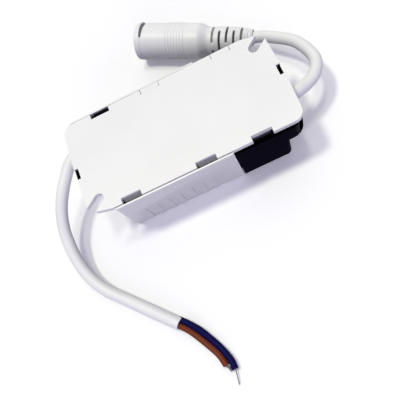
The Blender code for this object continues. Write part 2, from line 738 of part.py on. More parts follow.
# The bent leads of a part that lies along an axis, from each end of its body to the board
def bent_leads(x, y, z, axis, body_half, reach):
    bend = 2 * LEAD_RADIUS
    made = []
    for side in (-1, 1):
        along = [side * step for step in (body_half - bend, reach - bend, reach - 0.3 * bend, reach, reach)]
        heights = [z, z, z + 0.3 * bend, z + bend, BOARD_TOP + LEAD_END]
        if axis == "X":
            path = [(x + a, y, h) for a, h in zip(along, heights)]
            board_holes.append((x + side * reach, y, LEAD_RADIUS + GAP))
        else:
            path = [(x, y + a, h) for a, h in zip(along, heights)]
            board_holes.append((x, y + side * reach, LEAD_RADIUS + GAP))
        made.append((add_rod, path, LEAD_RADIUS))
    return made


def with_leads(name, body, leads):
    join(body, solid(f"{name}_leads", None, leads))
    return body


def scaled(*sizes):
    return [size * PART_SCALE for size in sizes]


# An axial part: a turned body with rounded shoulders, lying under the board
def axial_part(name, finish, place, axis, radius, length, reach, waist=0.0):
    x, y = on_board(place)
    radius, half, reach, waist, shoulder = scaled(radius, length / 2, reach, waist, 0.8)
    z = SEAT_Z - radius - FIT
    profile = [(-half, radius * 0.55), (shoulder * 0.4 - half, radius * 0.9), (shoulder - half, radius),
               (2 * shoulder - half, radius - waist)]
    profile += [(-along, r) for along, r in profile[::-1]]
    body = solid(name, finish, [(add_turned, profile, (x, y, z), axis, 16)])
    return with_leads(name, body, bent_leads(x, y, z, axis, half, reach))


# A standing can with a rolled groove near its base and a chamfered top
def can_part(name, finish, place, radius, height, spacing):
    x, y = on_board(place)
    radius, height, step, unit = scaled(radius, height, spacing / 2, 1.0)
    foot = SEAT_Z
    profile = [(foot - height, radius - 0.7 * unit), (foot - height + 0.5 * unit, radius),
               (foot - 2.2 * unit, radius), (foot - 1.7 * unit, radius - 0.35 * unit),
               (foot - 1.2 * unit, radius), (foot - 0.3 * unit, radius), (foot, radius - 0.3 * unit)]
    body = solid(name, finish, [(add_turned, profile, (x, y, 0.0), "Z")])
    return with_leads(name, body, [lead(x - step, y, foot - unit), lead(x + step, y, foot - unit)])


# A dipped disc standing on edge, its face across the given axis
def disc_part(name, finish, centre, axis, radius, thick, spacing):
    x, y = centre
    radius, half, step, lift = scaled(radius, thick / 2, spacing / 2, 0.8)
    z = SEAT_Z - lift - radius
    profile = [(-half, radius * 0.55), (-half * 0.85, radius * 0.85), (-half * 0.3, radius),
               (half * 0.3, radius), (half * 0.85, radius * 0.85), (half, radius * 0.55)]
    body = solid(name, finish, [(add_turned, profile, (x, y, z), axis, 20)])
    start = z + 0.6 * radius
    if axis == "X":
        leads = [lead(x, y - step, start), lead(x, y + step, start)]
    else:
        leads = [lead(x - step, y, start), lead(x + step, y, start)]
    return with_leads(name, body, leads)


# A box body with rounded upright edges, its leads at offsets from its centre
def block_part(name, finish, place, size, lift, corner, lead_offsets):
    x, y = on_board(place)
    half_x, half_y, height, lift, corner = scaled(size[0] / 2, size[1] / 2, size[2], lift, corner)
    outline = [(x + px, y + py) for px, py in rounded_outline(half_x, half_y, corner)]
    top = SEAT_Z - lift
    body = solid(name, finish, [(add_prism, outline, top - height, top)])
    leads = []
    for offset in lead_offsets:
        dx, dy, inset = scaled(*offset, 0.6)
        leads.append(lead(x + dx, y + dy, top - inset))
    return with_leads(name, body, leads)


def build_choke():
    x, y = on_board(CHOKE_PLACE)
    height, flange, waist, rim, edge, step = scaled(9.0, 3.6, 3.0, 1.4, 0.3, 2.3)
    foot = SEAT_Z
    drum = [(foot - height, flange - edge), (foot - height + edge, flange), (foot - height + rim, flange),
            (foot - height + rim + 0.1, waist), (foot - rim - edge - 0.1, waist), (foot - rim - edge, flange),
            (foot - edge, flange), (foot, flange - edge)]
    choke = solid("input_choke", "ferrite", [(add_turned, drum, (x, y, 0.0), "Z")])
    with_leads("input_choke", choke, [lead(x - step, y, foot - edge), lead(x + step, y, foot - edge)])


def build_input_parts():
    axial_part("fuse_resistor", "green_coat", FUSE_PLACE, "Y", 1.4, 8.0, 6.0, waist=0.2)
    disc_part("varistor", "blue_coat", on_board(VARISTOR_PLACE), "X", 3.5, 3.6, 5.0)
    film_leads = [(0, -3.75), (0, 3.75)]
    block_part("film_capacitor", "yellow_box", FILM_PLACE, (4.6, 9.8, 8.6), 0.2, 0.6, film_leads)
    bridge_leads = [(sx * 2.5, sy * 3.4) for sx in (-1, 1) for sy in (-1, 1)]
    block_part("bridge_rectifier", "black_moulding", BRIDGE_PLACE, (6.4, 8.2, 3.2), 0.8, 0.5, bridge_leads)
    build_choke()
    can_part("bulk_capacitor", "capacitor_sleeve", BULK_PLACE, 4.0, 11.4, 3.5)


# A flat transistor package that stands on its three legs, its metal tab above it
def build_transistor():
    x, y = on_board(TRANSISTOR_PLACE)
    half_x, half_y, height, lift, step = scaled(1.1, 3.3, 6.4, 1.2, 2.3)
    tab_in, tab_out, tab_half, tab_top = scaled(0.9, 1.5, 2.6, 8.6)
    top = SEAT_Z - lift
    body = (add_box, x - half_x, x + half_x, y - half_y, y + half_y, top - height, top)
    case = solid("power_transistor", "black_moulding", [body])
    tab = (add_box, x + tab_in, x + tab_out, y - tab_half, y + tab_half, top - tab_top, top - lift)
    legs = [lead(x, y + side * step, top - lift) for side in (-1, 0, 1)]
    with_leads("power_transistor", case, [tab] + legs)


def build_chip():
    cx, cy = on_board(CHIP_PLACE)
    half_x, half_y, height, pitch, thin = scaled(2.4, 1.9, 1.0, 1.27, 0.15)
    z = BOARD_TOP + GAP + thin
    body = (add_box, cx - half_x, cx + half_x, cy - half_y, cy + half_y, z, z + height)
    chip = solid("driver_chip", "black_moulding", [body])
    legs = []
    for step in (-1.5, -0.5, 0.5, 1.5):
        for side in (-1, 1):
            x = cx + step * pitch
            bend = half_y + 2.5 * thin
            run = [(x, cy + side * (half_y - thin), z + 3 * thin), (x, cy + side * bend, z + 3 * thin),
                   (x, cy + side * (bend + 2 * thin), z), (x, cy + side * (bend + 5 * thin), z)]
            legs.append((add_rod, run, thin, 4))
    join(chip, solid("driver_chip_legs", None, legs))


def build_switching_parts():
    build_transistor()
    build_chip()
    axial_part("startup_resistor", "blue_coat", STARTUP_PLACE, "Y", 1.1, 6.0, 4.2, waist=0.2)
    disc_part("snubber_capacitor", "blue_coat", on_board(SNUBBER_PLACE), "Y", 2.2, 2.2, 2.5)
    axial_part("snubber_diode", "black_moulding", SNUBBER_DIODE_PLACE, "X", 1.2, 4.2, 3.2)


# One E-shaped half of the transformer core, its legs meeting the other half's
def core_half(name, side):
    back = CORE_LENGTH / 2
    meet = 0.15
    root = back - CORE_BACK
    half = CORE_SPAN / 2
    outline = [
        (back, -half), (back, half), (meet, half), (meet, half - CORE_LEG), (root, half - CORE_LEG),
        (root, CORE_CENTRE / 2), (meet, CORE_CENTRE / 2), (meet, -CORE_CENTRE / 2),
        (root, -CORE_CENTRE / 2), (root, CORE_LEG - half), (meet, CORE_LEG - half), (meet, -half),
    ]
    transformer_x = on_board(TRANSFORMER_PLACE)[0]
    turned = [(transformer_x + side * x, y) for x, y in outline]
    half_thick = CORE_THICK / 2
    return solid(name, "ferrite", [(add_prism, turned, CORE_Z - half_thick, CORE_Z + half_thick)])


def build_transformer():
    core_half("transformer_core_input", -1)
    core_half("transformer_core_output", 1)
    window = CORE_LENGTH / 2 - CORE_BACK - GAP
    bore_y = CORE_CENTRE / 2 + GAP
    bore_z = CORE_THICK / 2 + GAP
    tube_y = bore_y + BOBBIN_WALL
    tube_z = bore_z + BOBBIN_WALL
    middle = on_board(TRANSFORMER_PLACE)[0]
    left = middle - window
    right = middle + window
    tube = (add_box, left, right, -tube_y, tube_y, CORE_Z - tube_z, CORE_Z + tube_z)
    bobbin = solid("transformer_bobbin", "black_moulding", [tube])
    deck = SEAT_Z - WING_THICK
    wing_half = CORE_LENGTH / 2 + WING_REACH
    for label, x0, x1, x_wing in (("input", left, left + FLANGE_THICK, middle - wing_half),
                                  ("output", right - FLANGE_THICK, right, middle + wing_half)):
        flange = (add_box, x0, x1, -FLANGE_HALF, FLANGE_HALF, CORE_Z - FLANGE_HALF, deck + 0.4)
        wing_in = x1 + 0.3 if label == "input" else x0 - 0.3
        wing = (add_box, min(x_wing, wing_in), max(x_wing, wing_in), -FLANGE_HALF + 0.3,
                FLANGE_HALF - 0.3, deck, SEAT_Z)
        pins = []
        for step in PIN_STEPS:
            x = x_wing + (2 if label == "input" else -2) * PIN_RADIUS
            pins.append(lead(x, step * PIN_PITCH, deck + 0.3, PIN_RADIUS))
        join(bobbin, solid(f"bobbin_flange_{label}", None, [flange]),
             solid(f"bobbin_wing_{label}", None, [wing]), solid(f"bobbin_pins_{label}", None, pins))
    bore = (add_box, left - 1.0, right + 1.0, -bore_y, bore_y, CORE_Z - bore_z, CORE_Z + bore_z)
    cut(bobbin, solid("bobbin_bore", None, [bore]))
    coil_y = FLANGE_HALF - 0.4
    outer = rounded_outline(coil_y, coil_y, 1.6)
    inner = rounded_outline(tube_y + FIT, tube_z + FIT, 0.5)
    x0 = left + FLANGE_THICK + FIT
    x1 = right - FLANGE_THICK - FIT
    winding = solid("transformer_winding", "tape",
                    [(add_x_prism, [(y, z + CORE_Z) for y, z in outer], x0, x1)])
    cut(winding, solid("winding_bore", None,
                       [(add_x_prism, [(y, z + CORE_Z) for y, z in inner], x0 - 1.0, x1 + 1.0)]))


def build_output_parts():
    beside_core = (on_board(TRANSFORMER_PLACE)[0], CORE_SPAN / 2 + SAFETY_THICK / 2 + 0.5)
    disc_part("safety_capacitor", "blue_coat", beside_core, "Y", 3.2, SAFETY_THICK / PART_SCALE, 5.0)
    axial_part("load_resistor", "green_coat", LOAD_PLACE, "X", 1.0, 5.0, 3.8, waist=0.15)
    axial_part("output_diode", "black_moulding", OUTPUT_DIODE_PLACE, "Y", 1.8, 6.8, 4.8)
    can_part("output_capacitor", "capacitor_sleeve", OUTPUT_CAPACITOR_PLACE, 3.1, 11.0, 2.5)


# A short insulated wire inside the case: straight out of its cable for its run, then over to its hole
# with a sideways bow, its bare end bent up through the board
def inner_wire(name, finish, start, run, hole, bow):
    insulated = INNER_WIRE_DIAMETER / 2
    bare = insulated * 0.45
    hole = Vector((*on_board(hole), CABLE_Z - insulated))
    board_holes.append((hole.x, hole.y, bare + GAP))
    start = Vector(start)
    straight = start + Vector((run, 0.0, 0.0))
    over = hole - straight
    aside = Vector((-over.y, over.x, 0.0)).normalized() * bow
    middle = straight + over * 0.5 + aside
    middle.z = hole.z
    near = hole - (hole - middle).normalized() * 2 * insulated
    near.z = hole.z
    path = [Vector(p) for p in smooth_route([tuple(p) for p in (start, straight, middle, near)], 1.2)]
    radii = [insulated] * len(path)
    ahead = (hole - near).normalized()
    up = Vector((0.0, 0.0, bare))
    path += [near + ahead * 0.01, hole - ahead * 2 * bare, hole - ahead * 0.6 * bare + up * 0.6,
             hole + up * 2, Vector((hole.x, hole.y, BOARD_TOP + LEAD_END))]
    radii += [bare] * 5
    return solid(name, finish, [(add_rod, path, radii, 10)])


def build_inner_wires():
    half = CORE_DIAMETER / 2
    live = (INPUT_START_X + GAP, INPUT_CABLE_Y + half, CABLE_Z)
    neutral = (INPUT_START_X + GAP, INPUT_CABLE_Y - half, CABLE_Z)
    plus = (OUTPUT_START_X - GAP, OUTPUT_CABLE_Y + half, CABLE_Z)
    minus = (OUTPUT_START_X - GAP, OUTPUT_CABLE_Y - half, CABLE_Z)
    inner_wire("inner_live_wire", "brown_core", live, 1.1, LIVE_HOLE, 0.3)
    inner_wire("inner_neutral_wire", "blue_core", neutral, 1.1, NEUTRAL_HOLE, -0.3)
    inner_wire("inner_plus_wire", "red_core", plus, -1.2, PLUS_HOLE, -0.8)
    inner_wire("inner_minus_wire", "black_core", minus, -1.9, MINUS_HOLE, 0.1)


def build_board():
    outline = rounded_outline(BOARD_LENGTH / 2, BOARD_WIDTH / 2, 0.8)
    moved = [(x + BOARD_X, y) for x, y in outline]
    board = solid("circuit_board", "board", [(add_prism, moved, BOARD_UNDERSIDE, BOARD_TOP)])
    drills = [(add_prism, circle(x, y, radius, 8), BOARD_UNDERSIDE - 1.0, BOARD_TOP + 1.0)
              for x, y, radius in board_holes]
    cut(board, solid("board_drills", None, drills))
    return board


# A saddle that holds a cable down in its ear
def cable_clamp(name, side, y):
    x0 = side * (HOUSING_HALF_LENGTH - WALL - CLAMP_FROM_WALL)
    x1 = x0 - side * CLAMP_LENGTH
    bottom = EAR_FLOOR + GAP
    top = PLATE_UNDERSIDE - GAP
    half = CABLE_DIAMETER / 2 + CLAMP_SIDE
    arch = arc(y, CABLE_Z, CABLE_DIAMETER / 2 + FIT, 0, 180, 2 * ARC_STEPS)
    section = [(y + half, bottom), (y + half, top - 1.0), (y + half - 1.0, top), (y - half + 1.0, top),
               (y - half, top - 1.0), (y - half, bottom)]
    foot = CABLE_DIAMETER / 2 + FIT
    section += [(y - foot, bottom)] + arch[::-1] + [(y + foot, bottom)]
    return solid(name, "black_moulding", [(add_x_prism, section, min(x0, x1), max(x0, x1))])


# Where the connector lies: its own +X runs from its front face to its tail
def connector_placement():
    along, across = CONNECTOR_FRONT
    front = Vector((HOUSING_HALF_LENGTH + along, OUTPUT_CABLE_Y + across, COLLAR_RADIUS)) * MM
    turn = Matrix.Rotation(math.radians(CONNECTOR_HEADING), 4, "Z")
    rise = Matrix.Rotation(math.radians(-CONNECTOR_RISE), 4, "Y")
    return Matrix.Translation(front) @ turn @ rise


def barrel_radius(s):
    share = (s - COLLAR_LENGTH) / (BARREL_END - COLLAR_LENGTH)
    return BARREL_FRONT_RADIUS + (BARREL_BACK_RADIUS - BARREL_FRONT_RADIUS) * share


# The strain relief's swelling outline, from its shoulder to its tail
def relief_radius(s):
    share = (s - RELIEF_START) / (RELIEF_END - RELIEF_START)
    return RELIEF_TAIL_RADIUS + (RELIEF_RADIUS - RELIEF_TAIL_RADIUS) * (1 - share ** 3)


# How far the cable's pull bends the relief sideways; beyond its tail the line runs on straight
def relief_shift(s):
    share = max(0.0, (s - RELIEF_START) / (RELIEF_END - RELIEF_START))
    return RELIEF_BEND * (share ** 2 if share < 1 else 2 * share - 1)


def shell_profile():
    profile = [(0.0, COLLAR_RADIUS - 0.8), (0.12, COLLAR_RADIUS - 0.35), (0.5, COLLAR_RADIUS),
               (COLLAR_LENGTH - 0.15, COLLAR_RADIUS), (COLLAR_LENGTH, barrel_radius(COLLAR_LENGTH))]
    for i in range(GRIP_RINGS):
        s = GRIP_START + i * GRIP_PITCH
        r = barrel_radius(s)
        profile += [(s - 0.22, r), (s - 0.1, r + GRIP_HEIGHT), (s + 0.1, r + GRIP_HEIGHT), (s + 0.22, r)]
    profile.append((BARREL_END, BARREL_BACK_RADIUS))
    for share in (0.25, 0.5, 0.75):
        blend = share * share * (3 - 2 * share)
        s = BARREL_END + share * (RELIEF_START - BARREL_END)
        profile.append((s, BARREL_BACK_RADIUS + (RELIEF_RADIUS - BARREL_BACK_RADIUS) * blend))
    for share in np.linspace(0, 1, 9):
        s = RELIEF_START + share * (RELIEF_END - RELIEF_START)
        profile.append((s, relief_radius(s)))
    return profile


# A curved slab round the axis: part of a ring from inner to outer radius
def add_ring_sector(bm, s0, s1, inner, outer, start, end, steps=14):
    angles = np.radians(np.linspace(start, end, steps + 1))
    shift = relief_shift((s0 + s1) / 2)
    rim = [(shift + inner * math.cos(a), inner * math.sin(a)) for a in angles]
    rim += [(shift + outer * math.cos(a), outer * math.sin(a)) for a in angles[::-1]]
    add_x_prism(bm, rim, s0, s1)


# The shell's turned body, each of its rings moved over with the bend
def add_bent_body(bm, profile):
    angles = [2 * math.pi * k / LATHE_STEPS for k in range(LATHE_STEPS)]
    rings = []
    for s, r in profile:
        shift = relief_shift(s)
        rings.append([(s, shift + r * math.cos(a), r * math.sin(a)) for a in angles])
    add_loft(bm, rings)


def build_connector():
    place = connector_placement()
    origin = (0.0, 0.0, 0.0)
    shell = solid("connector_shell", "white_cable", [(add_bent_body, shell_profile())])
    sectors = []
    for i in range(SLOT_RINGS):
        s = SLOT_START + i * SLOT_PITCH
        middle = SLOT_MIDDLES[i % 2]
        for turn in (0.0, 180.0):
            start = middle + turn - SLOT_SPAN / 2
            sectors.append((add_ring_sector, s - SLOT_WIDTH / 2, s + SLOT_WIDTH / 2, SLOT_CORE_RADIUS,
                            COLLAR_RADIUS + 1.0, start, start + SLOT_SPAN))
    groove = (add_ring_sector, COLLAR_LENGTH, COLLAR_LENGTH + 0.8, BARREL_FRONT_RADIUS - 0.9,
              COLLAR_RADIUS + 1.0, *COLLAR_GROOVE_SPAN)
    bore_radius = PLUG_RADIUS + SOCKET_WALL
    socket = [(-1.0, bore_radius), (SOCKET_DEPTH, bore_radius)]
    tail_bore = [(s, CABLE_DIAMETER / 2 + FIT) for s in (RELIEF_END - 1.0, RELIEF_END + 1.0)]
    tail_centre = (0.0, relief_shift(RELIEF_END - 0.5), 0.0)
    cut(shell, solid("relief_slots", None, sectors), solid("collar_groove", None, [groove]),
        solid("socket_bore", None, [(add_turned, socket, origin, "X", ROUND_STEPS)]),
        solid("tail_bore", None, [(add_turned, tail_bore, tail_centre, "X", ROUND_STEPS)]))
    insert_radius = bore_radius - GAP
    body = [(0.6, insert_radius - 0.3), (0.9, insert_radius), (SOCKET_DEPTH - GAP, insert_radius)]
    insert = solid("socket_insert", "white_case", [(add_turned, body, origin, "X", ROUND_STEPS)])
    mouth = [(-1.0, PLUG_RADIUS), (PLUG_DEPTH, PLUG_RADIUS)]
    pin_hole = [(PLUG_DEPTH - 1.0, PIN_TIP_RADIUS + GAP), (SOCKET_DEPTH + 1.0, PIN_TIP_RADIUS + GAP)]
    spring_slot = (add_box, 1.6, PLUG_DEPTH - 0.4, -1.1, 1.1, PLUG_RADIUS - 0.6, PLUG_RADIUS + 0.75)
    cut(insert, solid("plug_bore", None, [(add_turned, mouth, origin, "X", ROUND_STEPS)]),
        solid("pin_hole", None, [(add_turned, pin_hole, origin, "X", 12)]),
        solid("spring_slot", None, [spring_slot]))
    tip = [(1.4, 0.55), (1.9, PIN_TIP_RADIUS), (SOCKET_DEPTH - 0.4, PIN_TIP_RADIUS)]
    pin = solid("centre_pin", "nickel", [(add_turned, tip, origin, "X", 16)])
    low = PLUG_RADIUS + 0.15
    leaf = [(2.0, low + 0.2), (5.0, low - 0.25), (PLUG_DEPTH - 0.8, low + 0.2),
            (PLUG_DEPTH - 0.8, low + 0.42), (5.0, low - 0.03), (2.0, low + 0.42)]
    bm = bmesh.new()
    add_loft(bm, [[(s, y, z) for s, z in leaf] for y in (-0.8, 0.8)])
    spring = make_object("contact_spring", bm, "nickel")
    tools = [cutter.object for piece in (shell, insert) for cutter in piece.modifiers]
    for piece in [shell, insert, pin, spring] + tools:
        piece.matrix_world = place
    return place


# Route points measured from where a cable leaves the case
def from_exit(route, side, y):
    return [(side * HOUSING_HALF_LENGTH + px, y + py, pz) for px, py, pz in route]


def build_cords(place):
    tail = [(s, relief_shift(s)) for s in (RELIEF_END + 2.4, RELIEF_END + 0.9, RELIEF_END - 0.7)]
    axis_points = [place @ Vector((s * MM, shift * MM, 0.0)) / MM for s, shift in tail]
    held_in = [(INPUT_START_X, INPUT_CABLE_Y, CABLE_Z)]
    held_out = [(OUTPUT_START_X, OUTPUT_CABLE_Y, CABLE_Z)]
    route_out = held_out + from_exit(OUTPUT_ROUTE, 1, OUTPUT_CABLE_Y) + [tuple(p) for p in axis_points]
    cord("output_cable", "white_cable", route_out, CABLE_DIAMETER, held_first=1, held_last=1)
    route_in = held_in + from_exit(INPUT_ROUTE, -1, INPUT_CABLE_Y)
    cord("input_cable", "white_cable", route_in, CABLE_DIAMETER, held_first=1)
    for name, finish, route, diameter in (
        ("brown_wire", "brown_core", BROWN_ROUTE, CORE_DIAMETER),
        ("blue_wire", "blue_core", BLUE_ROUTE, CORE_DIAMETER),
        ("brown_strands", "tinned_copper", BROWN_STRAND_ROUTE, BUNDLE_DIAMETER),
        ("blue_strands", "tinned_copper", BLUE_STRAND_ROUTE, STRAND_DIAMETER),
    ):
        cord(name, finish, from_exit(route, -1, INPUT_CABLE_Y), diameter)


def main():
    clear_scene()
    build_plate()
    build_case()
    build_input_parts()
    build_switching_parts()
    build_transformer()
    build_output_parts()
    build_inner_wires()
    build_board()
    cable_clamp("input_cable_clamp", -1, INPUT_CABLE_Y)
    cable_clamp("output_cable_clamp", 1, OUTPUT_CABLE_Y)
    build_cords(build_connector())


main()
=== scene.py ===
import math

import bmesh
import bpy
import numpy as np
from mathutils import Matrix, Vector


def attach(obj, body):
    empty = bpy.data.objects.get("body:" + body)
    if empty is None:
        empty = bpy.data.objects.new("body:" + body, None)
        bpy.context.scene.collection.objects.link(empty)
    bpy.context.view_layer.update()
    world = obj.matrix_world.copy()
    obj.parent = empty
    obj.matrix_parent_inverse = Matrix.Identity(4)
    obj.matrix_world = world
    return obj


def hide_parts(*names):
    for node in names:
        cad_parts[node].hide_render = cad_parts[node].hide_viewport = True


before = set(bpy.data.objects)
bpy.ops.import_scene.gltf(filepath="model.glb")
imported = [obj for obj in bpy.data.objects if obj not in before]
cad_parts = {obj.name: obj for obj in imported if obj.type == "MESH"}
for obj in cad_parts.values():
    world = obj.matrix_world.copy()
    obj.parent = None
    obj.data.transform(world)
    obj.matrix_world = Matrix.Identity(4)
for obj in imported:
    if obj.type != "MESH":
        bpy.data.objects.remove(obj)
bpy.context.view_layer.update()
mm = 0.001
scene = bpy.context.scene
scene.view_settings.view_transform = "Standard"


photoView = {
    "lens": 47.84,
    "place": (13.828, -76.400, 147.865),  # in millimetres
    "right": (0.89952, -0.35321, -0.25711),
    "up": (0.42149, 0.85645, 0.29805),
}


def addCamera(view):  # it looks along minus (right x up)
    data = bpy.data.cameras.new("camera")
    data.lens = view["lens"]
    data.sensor_width = 36
    data.clip_start = 0.005
    data.clip_end = 10
    camera = bpy.data.objects.new("camera", data)
    right, up = Vector(view["right"]), Vector(view["up"])
    turn = Matrix((right, up, right.cross(up))).transposed()
    camera.matrix_world = Matrix.Translation(Vector(view["place"]) * mm) @ turn.to_4x4()
    scene.collection.objects.link(camera)
    scene.camera = camera


studio = {
    "lamps": {
        "key": {"toLight": (-0.27, 0.17, 1), "strength": 1.25, "angle": 8, "colour": (0.97, 1, 0.8)},
        "top": {"toLight": (0.05, 0.2, 1), "strength": 0.5, "angle": 8, "colour": (0.97, 1, 0.8)},
        "back": {"toLight": (0.3, 1, 0.75), "strength": 0.64, "angle": 70, "colour": (1, 0.98, 0.75)},
        "front": {"toLight": (-0.05, -1, 0.2), "strength": 1.45, "angle": 50, "colour": (0.88, 0.86, 1)},
    },
    "skyColour": (0.6, 0.54, 1),
    "skyStrength": 0.36,
    "floorColour": (0.93, 0.93, 0.93),
    "floorRough": 0.9,
    "floorSpecular": 0.1,
    "floorHalf": 1.5,  # metres, like the drop
    "floorDrop": 0.0001,
    "bounceColour": (0.18, 0.175, 0.21),  # what the floor sends back up at the object
    "floorLift": 0.16,  # light of the floor's own, for the camera alone
}


def cameraLikeRay(nodes, links):  # 1 for rays from the camera, a mirror or glass
    path = nodes.new("ShaderNodeLightPath")
    first = nodes.new("ShaderNodeMath")
    first.operation = "MAXIMUM"
    second = nodes.new("ShaderNodeMath")
    second.operation = "MAXIMUM"
    links.new(path.outputs["Is Camera Ray"], first.inputs[0])
    links.new(path.outputs["Is Glossy Ray"], first.inputs[1])
    links.new(first.outputs[0], second.inputs[0])
    links.new(path.outputs["Is Transmission Ray"], second.inputs[1])
    return second.outputs[0]


def addLights(look):  # suns, and a sky that is white to the camera and coloured to the object
    for name, lamp in look["lamps"].items():
        sun = bpy.data.lights.new(name, "SUN")
        sun.energy = lamp["strength"]
        sun.angle = math.radians(lamp["angle"])
        sun.color = lamp["colour"]
        stand = bpy.data.objects.new(name, sun)
        stand.rotation_mode = "QUATERNION"
        stand.rotation_quaternion = Vector(lamp["toLight"]).to_track_quat("Z", "Y")
        scene.collection.objects.link(stand)
    world = bpy.data.worlds.new("studio")
    world.use_nodes = True
    nodes, links = world.node_tree.nodes, world.node_tree.links
    fill = nodes["Background"]
    fill.inputs["Color"].default_value = (*look["skyColour"], 1)
    fill.inputs["Strength"].default_value = look["skyStrength"]
    white = nodes.new("ShaderNodeBackground")
    white.inputs["Color"].default_value = (1, 1, 1, 1)
    mix = nodes.new("ShaderNodeMixShader")
    seen = cameraLikeRay(nodes, links)
    links.new(seen, mix.inputs[0])
    links.new(fill.outputs[0], mix.inputs[1])
    links.new(white.outputs[0], mix.inputs[2])
    links.new(mix.outputs[0], nodes["World Output"].inputs["Surface"])
    scene.world = world


def addFloor(look):
    half = look["floorHalf"]
    corners = [(-half, -half, 0), (half, -half, 0), (half, half, 0), (-half, half, 0)]
    mesh = bpy.data.meshes.new("floor")
    mesh.from_pydata(corners, [], [(0, 1, 2, 3)])
    floor = bpy.data.objects.new("floor", mesh)
    floor.location.z = -look["floorDrop"]
    scene.collection.objects.link(floor)
    paint = bpy.data.materials.new("paleFloor")
    paint.use_nodes = True
    nodes, links = paint.node_tree.nodes, paint.node_tree.links
    surface = nodes["Principled BSDF"]
    surface.inputs["Base Color"].default_value = (*look["floorColour"], 1)
    surface.inputs["Roughness"].default_value = look["floorRough"]
    surface.inputs["Specular IOR Level"].default_value = look["floorSpecular"]
    dimmer = nodes.new("ShaderNodeBsdfDiffuse")
    dimmer.inputs["Color"].default_value = (*look["bounceColour"], 1)
    lift = nodes.new("ShaderNodeEmission")
    lift.inputs["Strength"].default_value = look["floorLift"]
    both = nodes.new("ShaderNodeAddShader")
    mix = nodes.new("ShaderNodeMixShader")
    seen = cameraLikeRay(nodes, links)
    links.new(surface.outputs[0], both.inputs[0])
    links.new(lift.outputs[0], both.inputs[1])
    links.new(seen, mix.inputs[0])
    links.new(dimmer.outputs[0], mix.inputs[1])
    links.new(both.outputs[0], mix.inputs[2])
    links.new(mix.outputs[0], nodes["Material Output"].inputs["Surface"])
    mesh.materials.append(paint)


addCamera(photoView)
addLights(studio)
addFloor(studio)
print("camera, lights and floor are in place")


# the finishes read Object coordinates, in metres, or a piece's own UV map or attribute
def startMaterial(name):
    made = bpy.data.materials.new(name)
    made.use_nodes = True
    tree = made.node_tree
    return made, tree.nodes, tree.links, tree.nodes["Principled BSDF"]


def noiseNode(nodes, links, source, scale, detail=3.0, stretch=None):
    noise = nodes.new("ShaderNodeTexNoise")
    noise.inputs["Scale"].default_value = scale
    noise.inputs["Detail"].default_value = detail
    if stretch:
        mapping = nodes.new("ShaderNodeMapping")
        mapping.inputs["Scale"].default_value = stretch
        links.new(source, mapping.inputs["Vector"])
        source = mapping.outputs["Vector"]
    links.new(source, noise.inputs["Vector"])
    return noise.outputs["Fac"]


def rampNode(nodes, links, source, stops):  # stops are (place, colour) pairs
    ramp = nodes.new("ShaderNodeValToRGB")
    while len(ramp.color_ramp.elements) < len(stops):
        ramp.color_ramp.elements.new(0.5)
    for element, (place, colour) in zip(ramp.color_ramp.elements, stops):
        element.position = place
        element.color = (*colour, 1)
    links.new(source, ramp.inputs["Fac"])
    return ramp.outputs["Color"]


def spread(nodes, links, source, low, high):  # carries 0..1 to low..high
    span = nodes.new("ShaderNodeMapRange")
    span.inputs["To Min"].default_value = low
    span.inputs["To Max"].default_value = high
    links.new(source, span.inputs["Value"])
    return span.outputs["Result"]


def bumpNode(nodes, links, height, distance, strength, after=None):
    bump = nodes.new("ShaderNodeBump")
    bump.inputs["Distance"].default_value = distance
    bump.inputs["Strength"].default_value = strength
    links.new(height, bump.inputs["Height"])
    if after:
        links.new(after, bump.inputs["Normal"])
    return bump.outputs["Normal"]


def shade(colour, amount):  # each part times the amount, 1 at most
    return tuple(min(1.0, part * amount) for part in colour)


def blend(nodes, links, share, first, second):  # first * (1 - share) + second * share
    mix = nodes.new("ShaderNodeMix")
    mix.data_type = "RGBA"
    links.new(share, mix.inputs["Factor"])
    links.new(first, mix.inputs["A"])
    mix.inputs["B"].default_value = (*second, 1)
    return mix.outputs["Result"]


def plainPlastic(name, colour, rough, grain=3200, depth=0.00002, mottle=0.02, specular=0.5,
                 paintedShade=None, paintedSheen=None):
    # two close tints in a slow cloud, and a fine grain in the roughness and the bumps
    made, nodes, links, surface = startMaterial(name)
    place = nodes.new("ShaderNodeTexCoord").outputs["Object"]
    cloud = noiseNode(nodes, links, place, scale=55, detail=2.0)
    ends = [(0.3, shade(colour, 1 - mottle)), (0.7, shade(colour, 1 + mottle))]
    tint = rampNode(nodes, links, cloud, ends)
    if paintedSheen:  # a painted sheen: the colour fades to a second, lighter one between two places along X
        parts = nodes.new("ShaderNodeSeparateXYZ")
        links.new(place, parts.inputs[0])
        sheenFade = nodes.new("ShaderNodeMapRange")
        sheenFade.inputs["From Min"].default_value = paintedSheen["x"][0] * mm
        sheenFade.inputs["From Max"].default_value = paintedSheen["x"][1] * mm
        links.new(parts.outputs["X"], sheenFade.inputs["Value"])
        tint = blend(nodes, links, sheenFade.outputs["Result"], tint, paintedSheen["colour"])
    shine = None
    if paintedShade:  # painted shade: a dark, dull colour by the mesh's attribute of painted shade, for walls within and for grooves
        within = nodes.new("ShaderNodeAttribute")
        within.attribute_name = "paintedShade"
        shine = spread(nodes, links, within.outputs["Fac"], specular, 0.0)
        tint = blend(nodes, links, within.outputs["Fac"], tint, paintedShade)
    links.new(tint, surface.inputs["Base Color"])
    fine = noiseNode(nodes, links, place, scale=grain, detail=2.0)
    links.new(spread(nodes, links, fine, rough - 0.05, rough + 0.05), surface.inputs["Roughness"])
    links.new(bumpNode(nodes, links, fine, depth, strength=0.35), surface.inputs["Normal"])
    if shine:
        links.new(shine, surface.inputs["Specular IOR Level"])
    else:
        surface.inputs["Specular IOR Level"].default_value = specular
    return made


